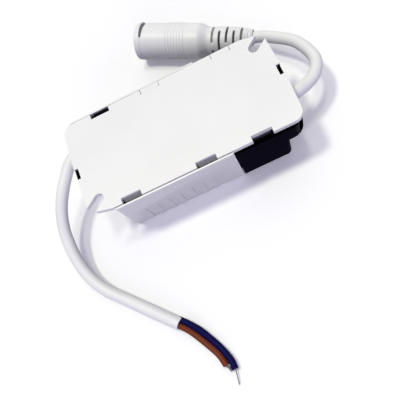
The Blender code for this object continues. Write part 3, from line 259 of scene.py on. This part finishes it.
def sheathPlastic(name, colour, rough, depth=0.00003, grainDepth=0.000015, specular=0.5):
    # a plastic drawn out along its length: streaks that run with the UV map, over a fine grain
    made, nodes, links, surface = startMaterial(name)
    along = nodes.new("ShaderNodeTexCoord").outputs["UV"]
    streak = noiseNode(nodes, links, along, scale=1.0, detail=3.0, stretch=(9.0, 160.0, 1.0))
    place = nodes.new("ShaderNodeTexCoord").outputs["Object"]
    cloud = noiseNode(nodes, links, place, scale=90, detail=3.0)
    ends = [(0.3, shade(colour, 0.975)), (0.7, shade(colour, 1.02))]
    links.new(rampNode(nodes, links, cloud, ends), surface.inputs["Base Color"])
    fine = noiseNode(nodes, links, place, scale=2600, detail=2.0)
    links.new(spread(nodes, links, cloud, rough - 0.06, rough + 0.06), surface.inputs["Roughness"])
    first = bumpNode(nodes, links, streak, depth, strength=0.3)
    links.new(bumpNode(nodes, links, fine, grainDepth, strength=0.3, after=first), surface.inputs["Normal"])
    surface.inputs["Specular IOR Level"].default_value = specular
    return made


def brightMetal(name, colour, rough, depth=0.00001):  # a metal, a little duller where its cloud is dark
    made, nodes, links, surface = startMaterial(name)
    place = nodes.new("ShaderNodeTexCoord").outputs["Object"]
    cloud = noiseNode(nodes, links, place, scale=700, detail=3.0)
    ends = [(0.3, shade(colour, 0.85)), (0.7, colour)]
    links.new(rampNode(nodes, links, cloud, ends), surface.inputs["Base Color"])
    links.new(spread(nodes, links, cloud, rough - 0.06, rough + 0.1), surface.inputs["Roughness"])
    links.new(bumpNode(nodes, links, cloud, depth, strength=0.3), surface.inputs["Normal"])
    surface.inputs["Metallic"].default_value = 1.0
    return made


finishes = {
    # painted shade: each dark colour given for faces within darkens the case's insides and the connector's
    # grooves
    "whiteCase": plainPlastic("whiteCase", (0.89, 0.89, 0.86), 0.42, paintedShade=(0.006, 0.006, 0.008)),
    # painted sheen: the black case turns lighter along X towards its ends' rounded corners
    "blackCase": plainPlastic("blackCase", (0.001, 0.0008, 0.005), 0.55, mottle=0.1, specular=0.004,
                              paintedShade=(0.001, 0.001, 0.001),
                              paintedSheen={"x": (28.5, 32.8), "colour": (0.1, 0.095, 0.12)}),
    "whiteSheath": sheathPlastic("whiteSheath", (0.87, 0.87, 0.85), 0.45),
    "whiteMoulding": plainPlastic("whiteMoulding", (0.88, 0.88, 0.86), 0.42, grain=2400,
                                  paintedShade=(0.03, 0.03, 0.033)),
    "brownCore": sheathPlastic("brownCore", (0.17, 0.038, 0.014), 0.45, specular=0.1),
    "blueCore": sheathPlastic("blueCore", (0.003, 0.003, 0.06), 0.45, specular=0.05),
    "redCore": sheathPlastic("redCore", (0.5, 0.025, 0.02), 0.36),
    "blackCore": sheathPlastic("blackCore", (0.015, 0.015, 0.017), 0.36),
    "tinnedWire": brightMetal("tinnedWire", (0.2, 0.195, 0.19), 0.34),
    "nickel": brightMetal("nickel", (0.72, 0.71, 0.68), 0.22),
    "blackMoulding": plainPlastic("blackMoulding", (0.02, 0.02, 0.021), 0.5, grain=5000, mottle=0.12),
    "greenCoat": plainPlastic("greenCoat", (0.035, 0.2, 0.11), 0.3, grain=1500, mottle=0.08),
    "blueCoat": plainPlastic("blueCoat", (0.02, 0.11, 0.36), 0.28, grain=1500, mottle=0.08),
    "yellowBox": plainPlastic("yellowBox", (0.72, 0.5, 0.06), 0.34, mottle=0.05),
    "sleeve": plainPlastic("sleeve", (0.02, 0.022, 0.05), 0.25, grain=900, mottle=0.08),
    "ferrite": plainPlastic("ferrite", (0.045, 0.045, 0.05), 0.55, grain=6000, mottle=0.2),
    "tape": plainPlastic("tape", (0.7, 0.48, 0.04), 0.2, grain=700, mottle=0.06),
    "laminate": plainPlastic("laminate", (0.42, 0.27, 0.11), 0.5, grain=4000, mottle=0.1),
}
print("materials are ready:", len(finishes))


def smoothRoute(points, step, reads=40):
    # each span is a cubic through its two ends, whose slope at a point is half the step between its
    # neighbours; the curve is then read again at even steps
    knots = np.array(points, float)
    held = np.vstack([2 * knots[0] - knots[1], knots, 2 * knots[-1] - knots[-2]])
    t = np.linspace(0, 1, reads, endpoint=False)[None, :, None]
    p0, p1, p2, p3 = (held[i:len(held) - 3 + i][:, None, :] for i in range(4))
    spans = 0.5 * (2 * p1 + (p2 - p0) * t + (2 * p0 - 5 * p1 + 4 * p2 - p3) * t ** 2
                   + (3 * p1 - p0 - 3 * p2 + p3) * t ** 3)
    fine = np.vstack([spans.reshape(-1, 3), knots[-1:]])
    travel = np.concatenate([[0], np.cumsum(np.linalg.norm(np.diff(fine, axis=0), axis=1))])
    even = np.linspace(0, travel[-1], max(2, round(travel[-1] / step)) + 1)
    return np.column_stack([np.interp(even, travel, fine[:, k]) for k in range(3)])


def routeLength(path):  # the sum of its steps
    return float(np.linalg.norm(np.diff(path, axis=0), axis=1).sum())


def sweepFrames(path, up=(0.0, 0.0, 1.0)):
    # tangent by central differences, side = tangent x up, and third = side x tangent
    tangent = np.gradient(path, axis=0)
    tangent /= np.linalg.norm(tangent, axis=1)[:, None]
    side = np.cross(tangent, np.array(up))
    side /= np.linalg.norm(side, axis=1)[:, None]
    return side, np.cross(side, tangent)


def tubeGrid(path, radius, sides):
    # point = path + radius * (side * cos a + third * sin a), for a round the full turn;
    # the radius is one number, one for each ring, or one for each point
    side, third = sweepFrames(path)
    a = np.linspace(0, 2 * np.pi, sides, endpoint=False)
    if np.ndim(radius) == 1:
        radius = radius[:, None]
    radius = np.broadcast_to(radius, (len(path), sides))
    ring = side[:, None, :] * np.cos(a)[None, :, None] + third[:, None, :] * np.sin(a)[None, :, None]
    return path[:, None, :] + ring * radius[:, :, None]


def gridMesh(name, grids, finish, smooth=40):
    # each grid is rows of closed rings; quads join neighbours, and a fan to its middle closes each end;
    # in the UV map, u goes once round each ring and v is the length along the rings' middles
    verts, faces, coords = [], [], []
    start = 0
    for grid in grids:
        rows, cols = grid.shape[:2]
        points = grid.reshape(-1, 3)
        middles = np.array([grid[0].mean(0), grid[-1].mean(0)])
        verts.append(np.vstack([points, middles]))
        i, j = np.meshgrid(np.arange(rows - 1), np.arange(cols), indexing="ij")
        k = (j + 1) % cols
        quads = np.stack([i * cols + j, i * cols + k, (i + 1) * cols + k, (i + 1) * cols + j], -1)
        quads = quads.reshape(-1, 4)
        j = np.arange(cols)
        k = (j + 1) % cols
        end = (rows - 1) * cols
        first = np.stack([np.full(cols, rows * cols), k, j], -1)
        last = np.stack([np.full(cols, rows * cols + 1), end + j, end + k], -1)
        faces += (quads + start).tolist() + (first + start).tolist() + (last + start).tolist()
        centre = grid.mean(1)
        along = np.concatenate([[0], np.cumsum(np.linalg.norm(np.diff(centre, axis=0), axis=1))])
        v = np.repeat(along, cols)
        u = np.tile(np.arange(cols) / cols, rows)
        left = u[quads[:, 0]]
        right = left + 1 / cols
        quadU = np.stack([left, right, right, left], -1)
        coords.append(np.stack([quadU, v[quads]], -1).reshape(-1, 2))
        coords.append(np.zeros((2 * cols * 3, 2)))  # the two fans
        start += rows * cols + 2
    mesh = bpy.data.meshes.new(name)
    mesh.from_pydata(np.vstack(verts), [], faces)
    layer = mesh.uv_layers.new(name="along")
    layer.data.foreach_set("uv", np.vstack(coords).astype(np.float32).ravel())
    mesh.materials.append(finish)
    mesh.shade_smooth()
    mesh.set_sharp_from_angle(angle=math.radians(smooth))
    piece = bpy.data.objects.new(name, mesh)
    scene.collection.objects.link(piece)
    turnOutwards(piece)
    return piece


def turnOutwards(piece):  # a volume below zero means that its faces look inwards
    work = bmesh.new()
    work.from_mesh(piece.data)
    if work.calc_volume(signed=True) < 0:
        bmesh.ops.reverse_faces(work, faces=work.faces)
        work.to_mesh(piece.data)
    work.free()


def place(piece, slot, *nodes):  # nothing on the driver moves, so every piece rides the root body
    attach(piece, "root")
    if nodes:
        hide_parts(*nodes)
    return piece


exitIn = (-32.3, 8.9, 14.55)  # where each cable leaves the case, in millimetres
exitOut = (32.3, -4.9, 14.55)

inputCable = {
    "radius": 1.85,
    "held": [(-26.8, 8.9, 14.55)],
    "fromExit": [
        (0.5, 0.0, 14.55), (-1.5, -0.9, 14.45), (-3.3, -2.5, 14.25), (-5.2, -4.8, 13.75),
        (-7.5, -7.8, 12.95), (-9.9, -11.3, 11.6), (-11.7, -14.8, 10.0), (-12.9, -18.6, 8.3),
        (-13.3, -21.9, 6.9), (-13.3, -25.5, 5.6), (-12.7, -29.8, 4.2), (-11.1, -34.5, 2.9),
        (-8.1, -39.1, 2.1), (-2.4, -45.0, 1.9), (2.4, -49.9, 1.9), (9.3, -56.9, 1.9),
    ],
    "wobble": 0.012,
}
outputCable = {
    "radius": 1.85,
    "held": [(28.3, -4.9, 14.55)],
    "fromExit": [
        (0.1, 0, 14.55), (2.3, 0.7, 13.95), (4.8, 1.8, 13.05), (7.5, 3.5, 12.2), (9.6, 5.8, 11.5),
        (10.8, 8.7, 10.95), (10.91, 11.4, 10.4), (10.36, 14.39, 9.85), (9.02, 18.23, 9.1),
        (7.14, 21.05, 8.4), (4.96, 23.5, 7.6), (3.36, 25.29, 7),
    ],
    "wobble": 0.006,
}
cores = {
    "brownWire": {
        "node": "brown_wire", "finish": "brownCore", "slot": "brown_core", "radius": 0.92,
        "fromExit": [
            (8.54, -56.96, 1.95), (9.14, -57.6, 1.95), (10.81, -59.37, 1.4), (12.34, -61.6, 1.1),
            (14.46, -65.12, 1), (16.37, -68.68, 1), (17.3, -72.04, 1),
        ],
    },
    "blueWire": {
        "node": "blue_wire", "finish": "blueCore", "slot": "blue_core", "radius": 0.96,
        "fromExit": [
            (9.75, -55.74, 1.95), (10.34, -56.41, 1.95), (12.13, -58.46, 1.6), (14, -60.8, 1.25),
            (16.14, -64.42, 1), (17.91, -67.94, 1.05), (19.07, -71.16, 1.3), (19.28, -73.79, 1.3),
        ],
    },
}
coreEnds = {
    "mouthRadius": 0.85, "growth": 3.0,  # thin in the sheath's mouth, and full this far on
    "cut": [(0.15, 0.93), (0.2, 0.8)],  # rings past the last one: shares of a step and of its radius
}
strands = {
    "brownStrands": {
        "node": "brown_strands", "count": 9, "radius": 0.11, "bundle": 0.38, "twist": 0.9,
        "fromExit": [(17.19, -71.65, 1), (17.43, -72.34, 0.95), (17.85, -73, 0.85), (18.16, -73.89, 0.7)],
    },
    "blueStrands": {
        "node": "blue_strands", "count": 3, "radius": 0.14, "bundle": 0.16, "twist": 0.7,
        "fromExit": [(19.26, -73.49, 1.3), (19.25, -74.1, 1.2), (19, -75.9, 0.9), (18.6, -77.8, 0.5)],
    },
}
strandSplay = 0.35
ringSteps = {"cable": 0.7, "core": 0.35, "strand": 0.2}  # millimetres from ring to ring
ringSides = {"cable": 28, "core": 20, "strand": 8}
mouthLip = [(0.0, 0.97), (0.07, 0.9), (0.05, 0.82), (-0.3, 0.78), (-1.2, 0.76)]  # ahead, share of the radius
coreTwist = 0.35  # radians of swell for each millimetre of cable


def fromExit(points, start):  # x and y from the exit, z from the floor
    return [(start[0] + x, start[1] + y, z) for x, y, z in points]


def sheathRings(path, radius, wobble, mouth):
    # radius * (1 + wobble * sin(2 a - twist * travel)), as the twisted cores press from inside;
    # a mouth rolls the far end in
    travel = np.concatenate([[0], np.cumsum(np.linalg.norm(np.diff(path, axis=0), axis=1))])
    a = np.linspace(0, 2 * np.pi, ringSides["cable"], endpoint=False)
    swell = 1 + wobble * np.sin(2 * a[None, :] - coreTwist * travel[:, None])
    outer = tubeGrid(path, radius * swell, ringSides["cable"])
    if not mouth:
        return outer
    axis = path[-1] - path[-2]
    axis /= np.linalg.norm(axis)
    rims = [path[-1] + axis * ahead + (outer[-1] - path[-1]) * share for ahead, share in mouthLip]
    return np.concatenate([outer, np.array(rims)])


def coreRings(path, radius):  # a tube that grows over its first millimetres, with a rounded cut end
    grown = np.linspace(0, routeLength(path), len(path)) / coreEnds["growth"]
    thin = coreEnds["mouthRadius"]
    rings = tubeGrid(path, thin + (radius - thin) * np.clip(grown, 0, 1), ringSides["core"])
    step = path[-1] - path[-2]
    rims = [path[-1] + step * ahead + (rings[-1] - path[-1]) * share for ahead, share in coreEnds["cut"]]
    return np.concatenate([rings, np.array(rims)])


def strandGrids(path, look):
    # one strand in the middle and the rest round it, each along
    # path + ring * splay * (side * cos a + third * sin a), where a grows with the travel and the splay
    # with its square
    side, third = sweepFrames(path)
    travel = np.linspace(0, routeLength(path), len(path))
    grids = []
    for n in range(look["count"]):
        ring = 0.0 if n == 0 else look["bundle"] - look["radius"]
        splay = 1 + strandSplay * (travel / travel[-1]) ** 2 * math.sin(2.4 * n)
        a = 2 * np.pi * n / max(1, look["count"] - 1) + look["twist"] * travel
        centre = path + ring * splay[:, None] * (side * np.cos(a)[:, None] + third * np.sin(a)[:, None])
        keep = len(path) - (n * 2) % 4  # every other strand is two rings shorter
        grids.append(tubeGrid(centre[:keep], look["radius"], ringSides["strand"]) * mm)
    return grids


def makeCords():
    inRoute = fromExit(inputCable["fromExit"], exitIn)
    inPath = np.vstack([inputCable["held"], smoothRoute(inRoute, ringSteps["cable"])])
    rings = sheathRings(inPath, inputCable["radius"], inputCable["wobble"], True)
    sheath = gridMesh("inputSheath", [rings * mm], finishes["whiteSheath"])
    place(sheath, "white_cable", "input_cable")
    for name, look in cores.items():
        path = smoothRoute(fromExit(look["fromExit"], exitIn), ringSteps["core"])
        core = gridMesh(name, [coreRings(path, look["radius"]) * mm], finishes[look["finish"]])
        place(core, look["slot"], look["node"])
    for name, look in strands.items():
        path = smoothRoute(fromExit(look["fromExit"], exitIn), ringSteps["strand"])
        bundle = gridMesh(name, strandGrids(path, look), finishes["tinnedWire"])
        place(bundle, "tinned_copper", look["node"])


makeCords()
print("input cable, cores and strands are made")


connector = {
    "front": (-2.04, 42.57, 5.95),
    "heading": -31.4,
    "rise": 0.5,
    "collar": 5.95, "collarLength": 2.1, "frontRound": 0.45, "collarEdge": 0.12,
    "barrelFront": 5.8, "barrelBack": 5.5, "barrelEnd": 21.0,
    "reliefStart": 24.8, "reliefEnd": 38.2, "reliefRadius": 4.2, "tailRadius": 2.45, "bend": 1.0,
    "gripStart": 10.7, "gripPitch": 1.0, "gripCount": 7, "gripHeight": 0.1, "gripHalf": 0.17,
    "slotStart": 26.0, "slotPitch": 2.27, "slotCount": 6, "slotWidth": 0.65, "slotSpan": 144,
    "slotMiddles": (62, 152), "slotCore": 2.65,
    "bore": 4.45, "boreDepth": 12.0, "tailBore": 2.1, "grooveShade": 0.72, "firstSlotShare": 0.35,
    "crescent": {
        "top": (1.3, 3.2), "end": (1.8, 2.5), "widest": 16, "ends": 112, "starts": -40, "depth": 0.9,
    },
}


def connectorMatrix(look):  # its own X runs from the mouth to the tail
    turn = Matrix.Rotation(math.radians(look["heading"]), 4, "Z")
    rise = Matrix.Rotation(math.radians(-look["rise"]), 4, "Y")
    return Matrix.Translation(Vector(look["front"]) * mm) @ turn @ rise


def softStep(x, low, high):  # 0 up to low, 1 from high on, and 3 t^2 - 2 t^3 between
    t = np.clip((x - low) / (high - low), 0, 1)
    return t * t * (3 - 2 * t)


def outerRadius(s, look):
    # collar, then a straight taper, an s-curve down to the relief, and the relief, which narrows with
    # the cube of its share; each grip ring adds height * e^-(distance / width)^4
    share = (s - look["collarLength"]) / (look["barrelEnd"] - look["collarLength"])
    barrel = look["barrelFront"] + (look["barrelBack"] - look["barrelFront"]) * share
    fall = softStep(s, look["barrelEnd"], look["reliefStart"])
    neck = look["barrelBack"] + (look["reliefRadius"] - look["barrelBack"]) * fall
    t = np.clip((s - look["reliefStart"]) / (look["reliefEnd"] - look["reliefStart"]), 0, 1)
    relief = look["tailRadius"] + (look["reliefRadius"] - look["tailRadius"]) * (1 - t ** 3)
    radius = np.where(s < look["barrelEnd"], barrel, np.where(s < look["reliefStart"], neck, relief))
    front, edge = look["frontRound"], look["collarEdge"]
    collar = look["collar"] - front * (1 - np.clip(s / front, 0, 1)) ** 2
    behind = softStep(s, look["collarLength"] - edge, look["collarLength"] + edge)
    radius = radius + (collar - radius) * (1 - behind)
    for n in range(look["gripCount"]):
        middle = look["gripStart"] + n * look["gripPitch"]
        radius = radius + look["gripHeight"] * np.exp(-((s - middle) / look["gripHalf"]) ** 4)
    return radius


def bendShift(s, look):  # sideways by bend * t^2 along the relief, then straight on at the same slope
    length = look["reliefEnd"] - look["reliefStart"]
    t = np.clip((np.asarray(s, float) - look["reliefStart"]) / length, 0, None)
    return look["bend"] * np.where(t < 1, t ** 2, 2 * t - 1)


def connectorRows(look):  # where the shell's rings stand: evenly, and close together at each edge
    marks = [np.linspace(0, look["reliefEnd"], 260), np.linspace(0, 0.5, 8)]
    for n in range(look["slotCount"]):
        middle = look["slotStart"] + n * look["slotPitch"]
        for edge in (-1, 1):
            at = middle + edge * look["slotWidth"] / 2
            marks.append(np.array([at - 0.06, at - 0.02, at + 0.02, at + 0.06]))
    for n in range(look["gripCount"]):
        middle = look["gripStart"] + n * look["gripPitch"]
        marks.append(middle + np.linspace(-0.26, 0.26, 13))
    marks.append(np.linspace(1.1, 3.4, 40))  # across the crescent
    return np.unique(np.round(np.concatenate(marks), 3))


def sinkSlots(radius, s, a, look):
    # down to the core where both the slot's share across and its share round are 1; two slots share
    # each place with a bridge between them, and every other place is turned
    for n in range(look["slotCount"]):
        middle = look["slotStart"] + n * look["slotPitch"]
        centre = look["slotMiddles"][n % 2]
        away = np.abs((a - centre + 90) % 180 - 90)
        around = 1 - softStep(away, look["slotSpan"] / 2 - 2.5, look["slotSpan"] / 2 + 2.5)
        half = look["slotWidth"] / 2
        across = 1 - softStep(np.abs(s - middle), half - 0.02, half + 0.05)
        cut = across[:, None] * around[None, :]
        radius = radius + (look["slotCore"] - radius) * cut
    return radius


def sinkCrescent(radius, s, a, moon):
    # a groove behind the collar, widest at the top; its two edges meet towards the lower end, which is
    # rounded by the square root of what is left of the turn
    turned = (a - moon["starts"]) % 360 + moon["starts"]
    share = np.clip(1 - np.abs(turned - moon["widest"]) / (moon["ends"] - moon["widest"]), 0, 1)
    low = moon["end"][0] + (moon["top"][0] - moon["end"][0]) * share
    high = moon["end"][1] + (moon["top"][1] - moon["end"][1]) * share
    endRound = np.sqrt(np.clip((moon["ends"] - turned) / 5, 0, 1))
    endRound = endRound * softStep(turned, moon["starts"], moon["starts"] + 12)
    middle, half = (low + high) / 2, (high - low) / 2 * endRound + 1e-6
    across = 1 - softStep(np.abs(s[:, None] - middle[None, :]), half[None, :] - 0.06, half[None, :] + 0.03)
    return radius - moon["depth"] * across * (endRound > 0)[None, :]


def shadeSunkFaces(mesh, look):
    # painted shade: a face sunk into the crescent or a slot is painted darker, by its depth under the
    # outline;
    # the first slot less so, and the mouth, the bore and the tail not at all
    centre = np.empty(len(mesh.polygons) * 3, np.float32)
    mesh.polygons.foreach_get("center", centre)
    x, y, z = centre.reshape(-1, 3).T / mm
    away = np.hypot(y - bendShift(x, look), z)
    sunk = np.clip((outerRadius(x, look) - away - 0.15) / 0.5, 0, 1) * look["grooveShade"]
    sunk[np.abs(x - look["slotStart"]) < 0.8] *= look["firstSlotShare"]
    inBore = (x < look["boreDepth"] + 0.2) & (away < look["bore"] + 0.1)
    sunk[(x < 1.0) | (x > look["reliefEnd"] - 0.6) | inBore] = 0
    paintedShade = mesh.attributes.new("paintedShade", "FLOAT", "FACE")
    paintedShade.data.foreach_set("value", sunk.astype(np.float32))


def makeConnector(look, cols=160):
    # a turned outline (s, radius) from the floor of the bore out over the shell and into the tail:
    # point = (s, bend + radius * cos a, radius * sin a)
    s = connectorRows(look)
    a = np.linspace(0, 360, cols, endpoint=False)
    radius = np.repeat(outerRadius(s, look)[:, None], cols, axis=1)
    radius = sinkSlots(radius, s, a, look)
    radius = sinkCrescent(radius, s, a, look["crescent"])
    deep, bore, end, tailBore = (look[size] for size in ("boreDepth", "bore", "reliefEnd", "tailBore"))
    inner = [(deep, 0.4), (deep, bore), (0.35, bore), (0.0, bore + 0.3)]
    tail = [(end + 0.05, tailBore + 0.15), (end - 0.1, tailBore), (end - 1.0, tailBore), (end - 1.0, 0.3)]
    along = np.concatenate([[p[0] for p in inner], s, [p[0] for p in tail]])
    innerSpans, tailSpans = (np.repeat([[p[1]] for p in part], cols, 1) for part in (inner, tail))
    spans = np.concatenate([innerSpans, radius, tailSpans])
    over = bendShift(along, look)[:, None]
    turn = np.radians(a)
    rows = np.repeat(along[:, None], cols, 1)
    grid = np.stack([rows, over + spans * np.cos(turn), spans * np.sin(turn)], -1) * mm
    shell = gridMesh("connectorShell", [grid], finishes["whiteMoulding"], smooth=38)
    shadeSunkFaces(shell.data, look)
    shell.data.transform(connectorMatrix(look))
    return place(shell, "white_cable", "connector_shell")


connectorShell = makeConnector(connector)


def makeOutputCable():  # its last points lie on the bent axis of the relief, the very last one inside it
    matrix = connectorMatrix(connector)
    tail = [connector["reliefEnd"] + ahead for ahead in (2.4, 0.9, -0.7)]
    axis = [matrix @ Vector((s * mm, float(bendShift(s, connector)) * mm, 0)) / mm for s in tail]
    route = fromExit(outputCable["fromExit"], exitOut) + [tuple(axis[0]), tuple(axis[1])]
    path = np.vstack([outputCable["held"], smoothRoute(route, ringSteps["cable"]), [tuple(axis[2])]])
    rings = sheathRings(path, outputCable["radius"], outputCable["wobble"], False)
    cable = gridMesh("outputSheath", [rings * mm], finishes["whiteSheath"])
    place(cable, "white_cable", "output_cable")


makeOutputCable()
print("connector and output cable are made")


caseForm = {
    "rimHalf": 16.05, "rimTop": 19.7, "draft": 4.2, "skin": 0.7, "floorTop": 0.9, "plateUnder": 18.35,
    "boxEnds": (25.5, 26.6), "earFloor": 11.0, "earEnd": 31.6, "blockReach": 5.5,
    # the end tabs, whose sides get painted shade
    "tab": {"beyond": 31.2, "middle": 0.9, "half": 1.6, "z": (18.0, 19.95)},
}
snapFaces = {
    "across": 5.7, "high": 18.6, "low": 16.35,
    "leaning": {"x": (-19.2, 3.4), "y": (-13.5, -14.85)},  # near: each face leans out to the rim
    "filled": {"x": (-3.4, 19.2, -19.2), "y": (13.5, 15.48), "top": (19.72, 19.72, 19.1), "deep": 0.7},  # far
    "pale": {"above": 16.3, "y": (13.45, 15.5), "within": 31.5},
    "dark": {"x": -19.2, "half": 3.1, "below": 19.3},  # the lowest of the far ones, in painted shade
    "armFaces": {"y": (-13.8, -13.2), "above": 12.0},
}


def paintedShadeShare(mesh, form, snaps):
    # painted shade, 1 on each face whose middle lies under the plate, behind the leaning walls and above
    # the ears' floors, and on the tabs' sides; 0 on the near snap arms and round the snap faces
    centre = np.empty(len(mesh.polygons) * 3, np.float32)
    mesh.polygons.foreach_get("center", centre)
    x, y, z = centre.reshape(-1, 3).T / mm
    skin = form["skin"]
    wall = form["rimHalf"] - (form["rimTop"] - z) * math.tan(math.radians(form["draft"])) - skin
    box = np.abs(x) < np.where(x < 0, *form["boxEnds"]) - skin
    ear = (z > form["earFloor"] + skin) & (np.abs(x) < form["earEnd"])
    ear = ear & (y * np.sign(x) < form["blockReach"] - skin)
    within = (z > form["floorTop"]) & (z < form["plateUnder"]) & (np.abs(y) < wall) & (box | ear)
    tab = form["tab"]
    onTab = (np.abs(x) > tab["beyond"]) & (np.abs(y - tab["middle"] * np.sign(x)) < tab["half"])
    onTab = onTab & (z > tab["z"][0]) & (z < tab["z"][1])
    share = (within | onTab).astype(np.float32)
    normal = np.empty(len(mesh.polygons) * 3, np.float32)
    mesh.polygons.foreach_get("normal", normal)
    across = normal.reshape(-1, 3)[:, 1]
    arm, pale, dark = snaps["armFaces"], snaps["pale"], snaps["dark"]
    onArm = (across < -0.9) & (y < arm["y"][1]) & (y > arm["y"][0]) & (z > arm["above"])
    share[onArm] = 0.0
    snap = (z > pale["above"]) & (np.abs(y) > pale["y"][0]) & (np.abs(y) < pale["y"][1])
    share[snap & (np.abs(x) < pale["within"]) & (np.abs(across) < 0.95)] = 0.0
    share[snap & (y > 0) & (np.abs(x - dark["x"]) < dark["half"]) & (z < dark["below"])] = 1.0
    return share


def addSnapFaces(work, look):  # closed prisms along X, from a triangle or a rectangle across Y and Z
    half = look["across"] / 2
    back, out = look["leaning"]["y"]
    leaning = [(back, look["low"]), (out, look["low"]), (back, look["high"])]
    shapes = [(x, leaning) for x in look["leaning"]["x"]]
    back, out = look["filled"]["y"]
    low = look["high"] - look["filled"]["deep"]
    shapes += [(x, [(back, low), (out, low), (out, top), (back, top)])
               for x, top in zip(look["filled"]["x"], look["filled"]["top"])]
    for x, outline in shapes:
        ends = [[work.verts.new(((x + side) * mm, y * mm, z * mm)) for y, z in outline]
                for side in (-half, half)]
        faces = [work.faces.new(ends[0]), work.faces.new(ends[1][::-1])]
        for k in range(len(outline)):
            n = (k + 1) % len(outline)
            faces.append(work.faces.new((ends[0][k], ends[1][k], ends[1][n], ends[0][n])))
        bmesh.ops.recalc_face_normals(work, faces=faces)


caseShells = {
    "fixingPlate": {"node": "base_plate", "finish": "whiteCase", "slot": "white_case"},
    "mainShell": {"node": "main_housing", "finish": "whiteCase", "slot": "white_case"},
    "endShell": {"node": "end_housing", "finish": "blackCase", "slot": "black_case"},
}
softEdge = {"width": 0.16, "segments": 2, "angle": 32, "weld": 0.002, "flat": 0.6}  # millimetres, degrees


def softenedCopy(name, shell, edge):  # the CAD mesh itself, its sharp edges rounded by a bevel
    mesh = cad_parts[shell["node"]].data.copy()
    mesh.name = name
    work = bmesh.new()
    work.from_mesh(mesh)
    bmesh.ops.remove_doubles(work, verts=work.verts, dist=edge["weld"] * mm)
    flat = math.radians(edge["flat"])
    bmesh.ops.dissolve_limit(work, angle_limit=flat, verts=work.verts, edges=work.edges)
    if name == "fixingPlate":
        addSnapFaces(work, snapFaces)
    work.to_mesh(mesh)
    work.free()
    mesh.materials.clear()
    mesh.materials.append(finishes[shell["finish"]])
    # painted shade on the faces within the case and on the tabs
    paintedShade = mesh.attributes.new("paintedShade", "FLOAT", "FACE")
    paintedShade.data.foreach_set("value", paintedShadeShare(mesh, caseForm, snapFaces))
    piece = bpy.data.objects.new(name, mesh)
    scene.collection.objects.link(piece)
    soft = piece.modifiers.new("edges", "BEVEL")
    soft.width = edge["width"] * mm
    soft.segments = edge["segments"]
    soft.limit_method = "ANGLE"
    soft.angle_limit = math.radians(edge["angle"])
    soft.harden_normals = True
    mesh.shade_smooth()
    mesh.set_sharp_from_angle(angle=math.radians(edge["angle"]))
    place(piece, shell["slot"], shell["node"])


for name, shell in caseShells.items():
    softenedCopy(name, shell, softEdge)
print("case shells are softened:", len(caseShells))


nodeFinish = {  # the pieces that come from the CAD as they are
    "socket_insert": "whiteMoulding", "centre_pin": "nickel", "contact_spring": "nickel",
    "input_cable_clamp": "blackMoulding", "output_cable_clamp": "blackMoulding",
    "inner_live_wire": "brownCore", "inner_neutral_wire": "blueCore", "inner_plus_wire": "redCore",
    "inner_minus_wire": "blackCore", "circuit_board": "laminate", "fuse_resistor": "greenCoat",
    "varistor": "blueCoat", "film_capacitor": "yellowBox", "bridge_rectifier": "blackMoulding",
    "input_choke": "ferrite", "bulk_capacitor": "sleeve", "power_transistor": "blackMoulding",
    "startup_resistor": "blueCoat", "snubber_capacitor": "blueCoat", "snubber_diode": "blackMoulding",
    "driver_chip": "blackMoulding", "transformer_core_input": "ferrite", "transformer_core_output": "ferrite",
    "transformer_bobbin": "blackMoulding", "transformer_winding": "tape", "safety_capacitor": "blueCoat",
    "load_resistor": "greenCoat", "output_diode": "blackMoulding", "output_capacitor": "sleeve",
}

for node, look in nodeFinish.items():
    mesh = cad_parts[node].data
    mesh.materials.clear()
    mesh.materials.append(finishes[look])
print("carried-over nodes are finished:", len(nodeFinish))
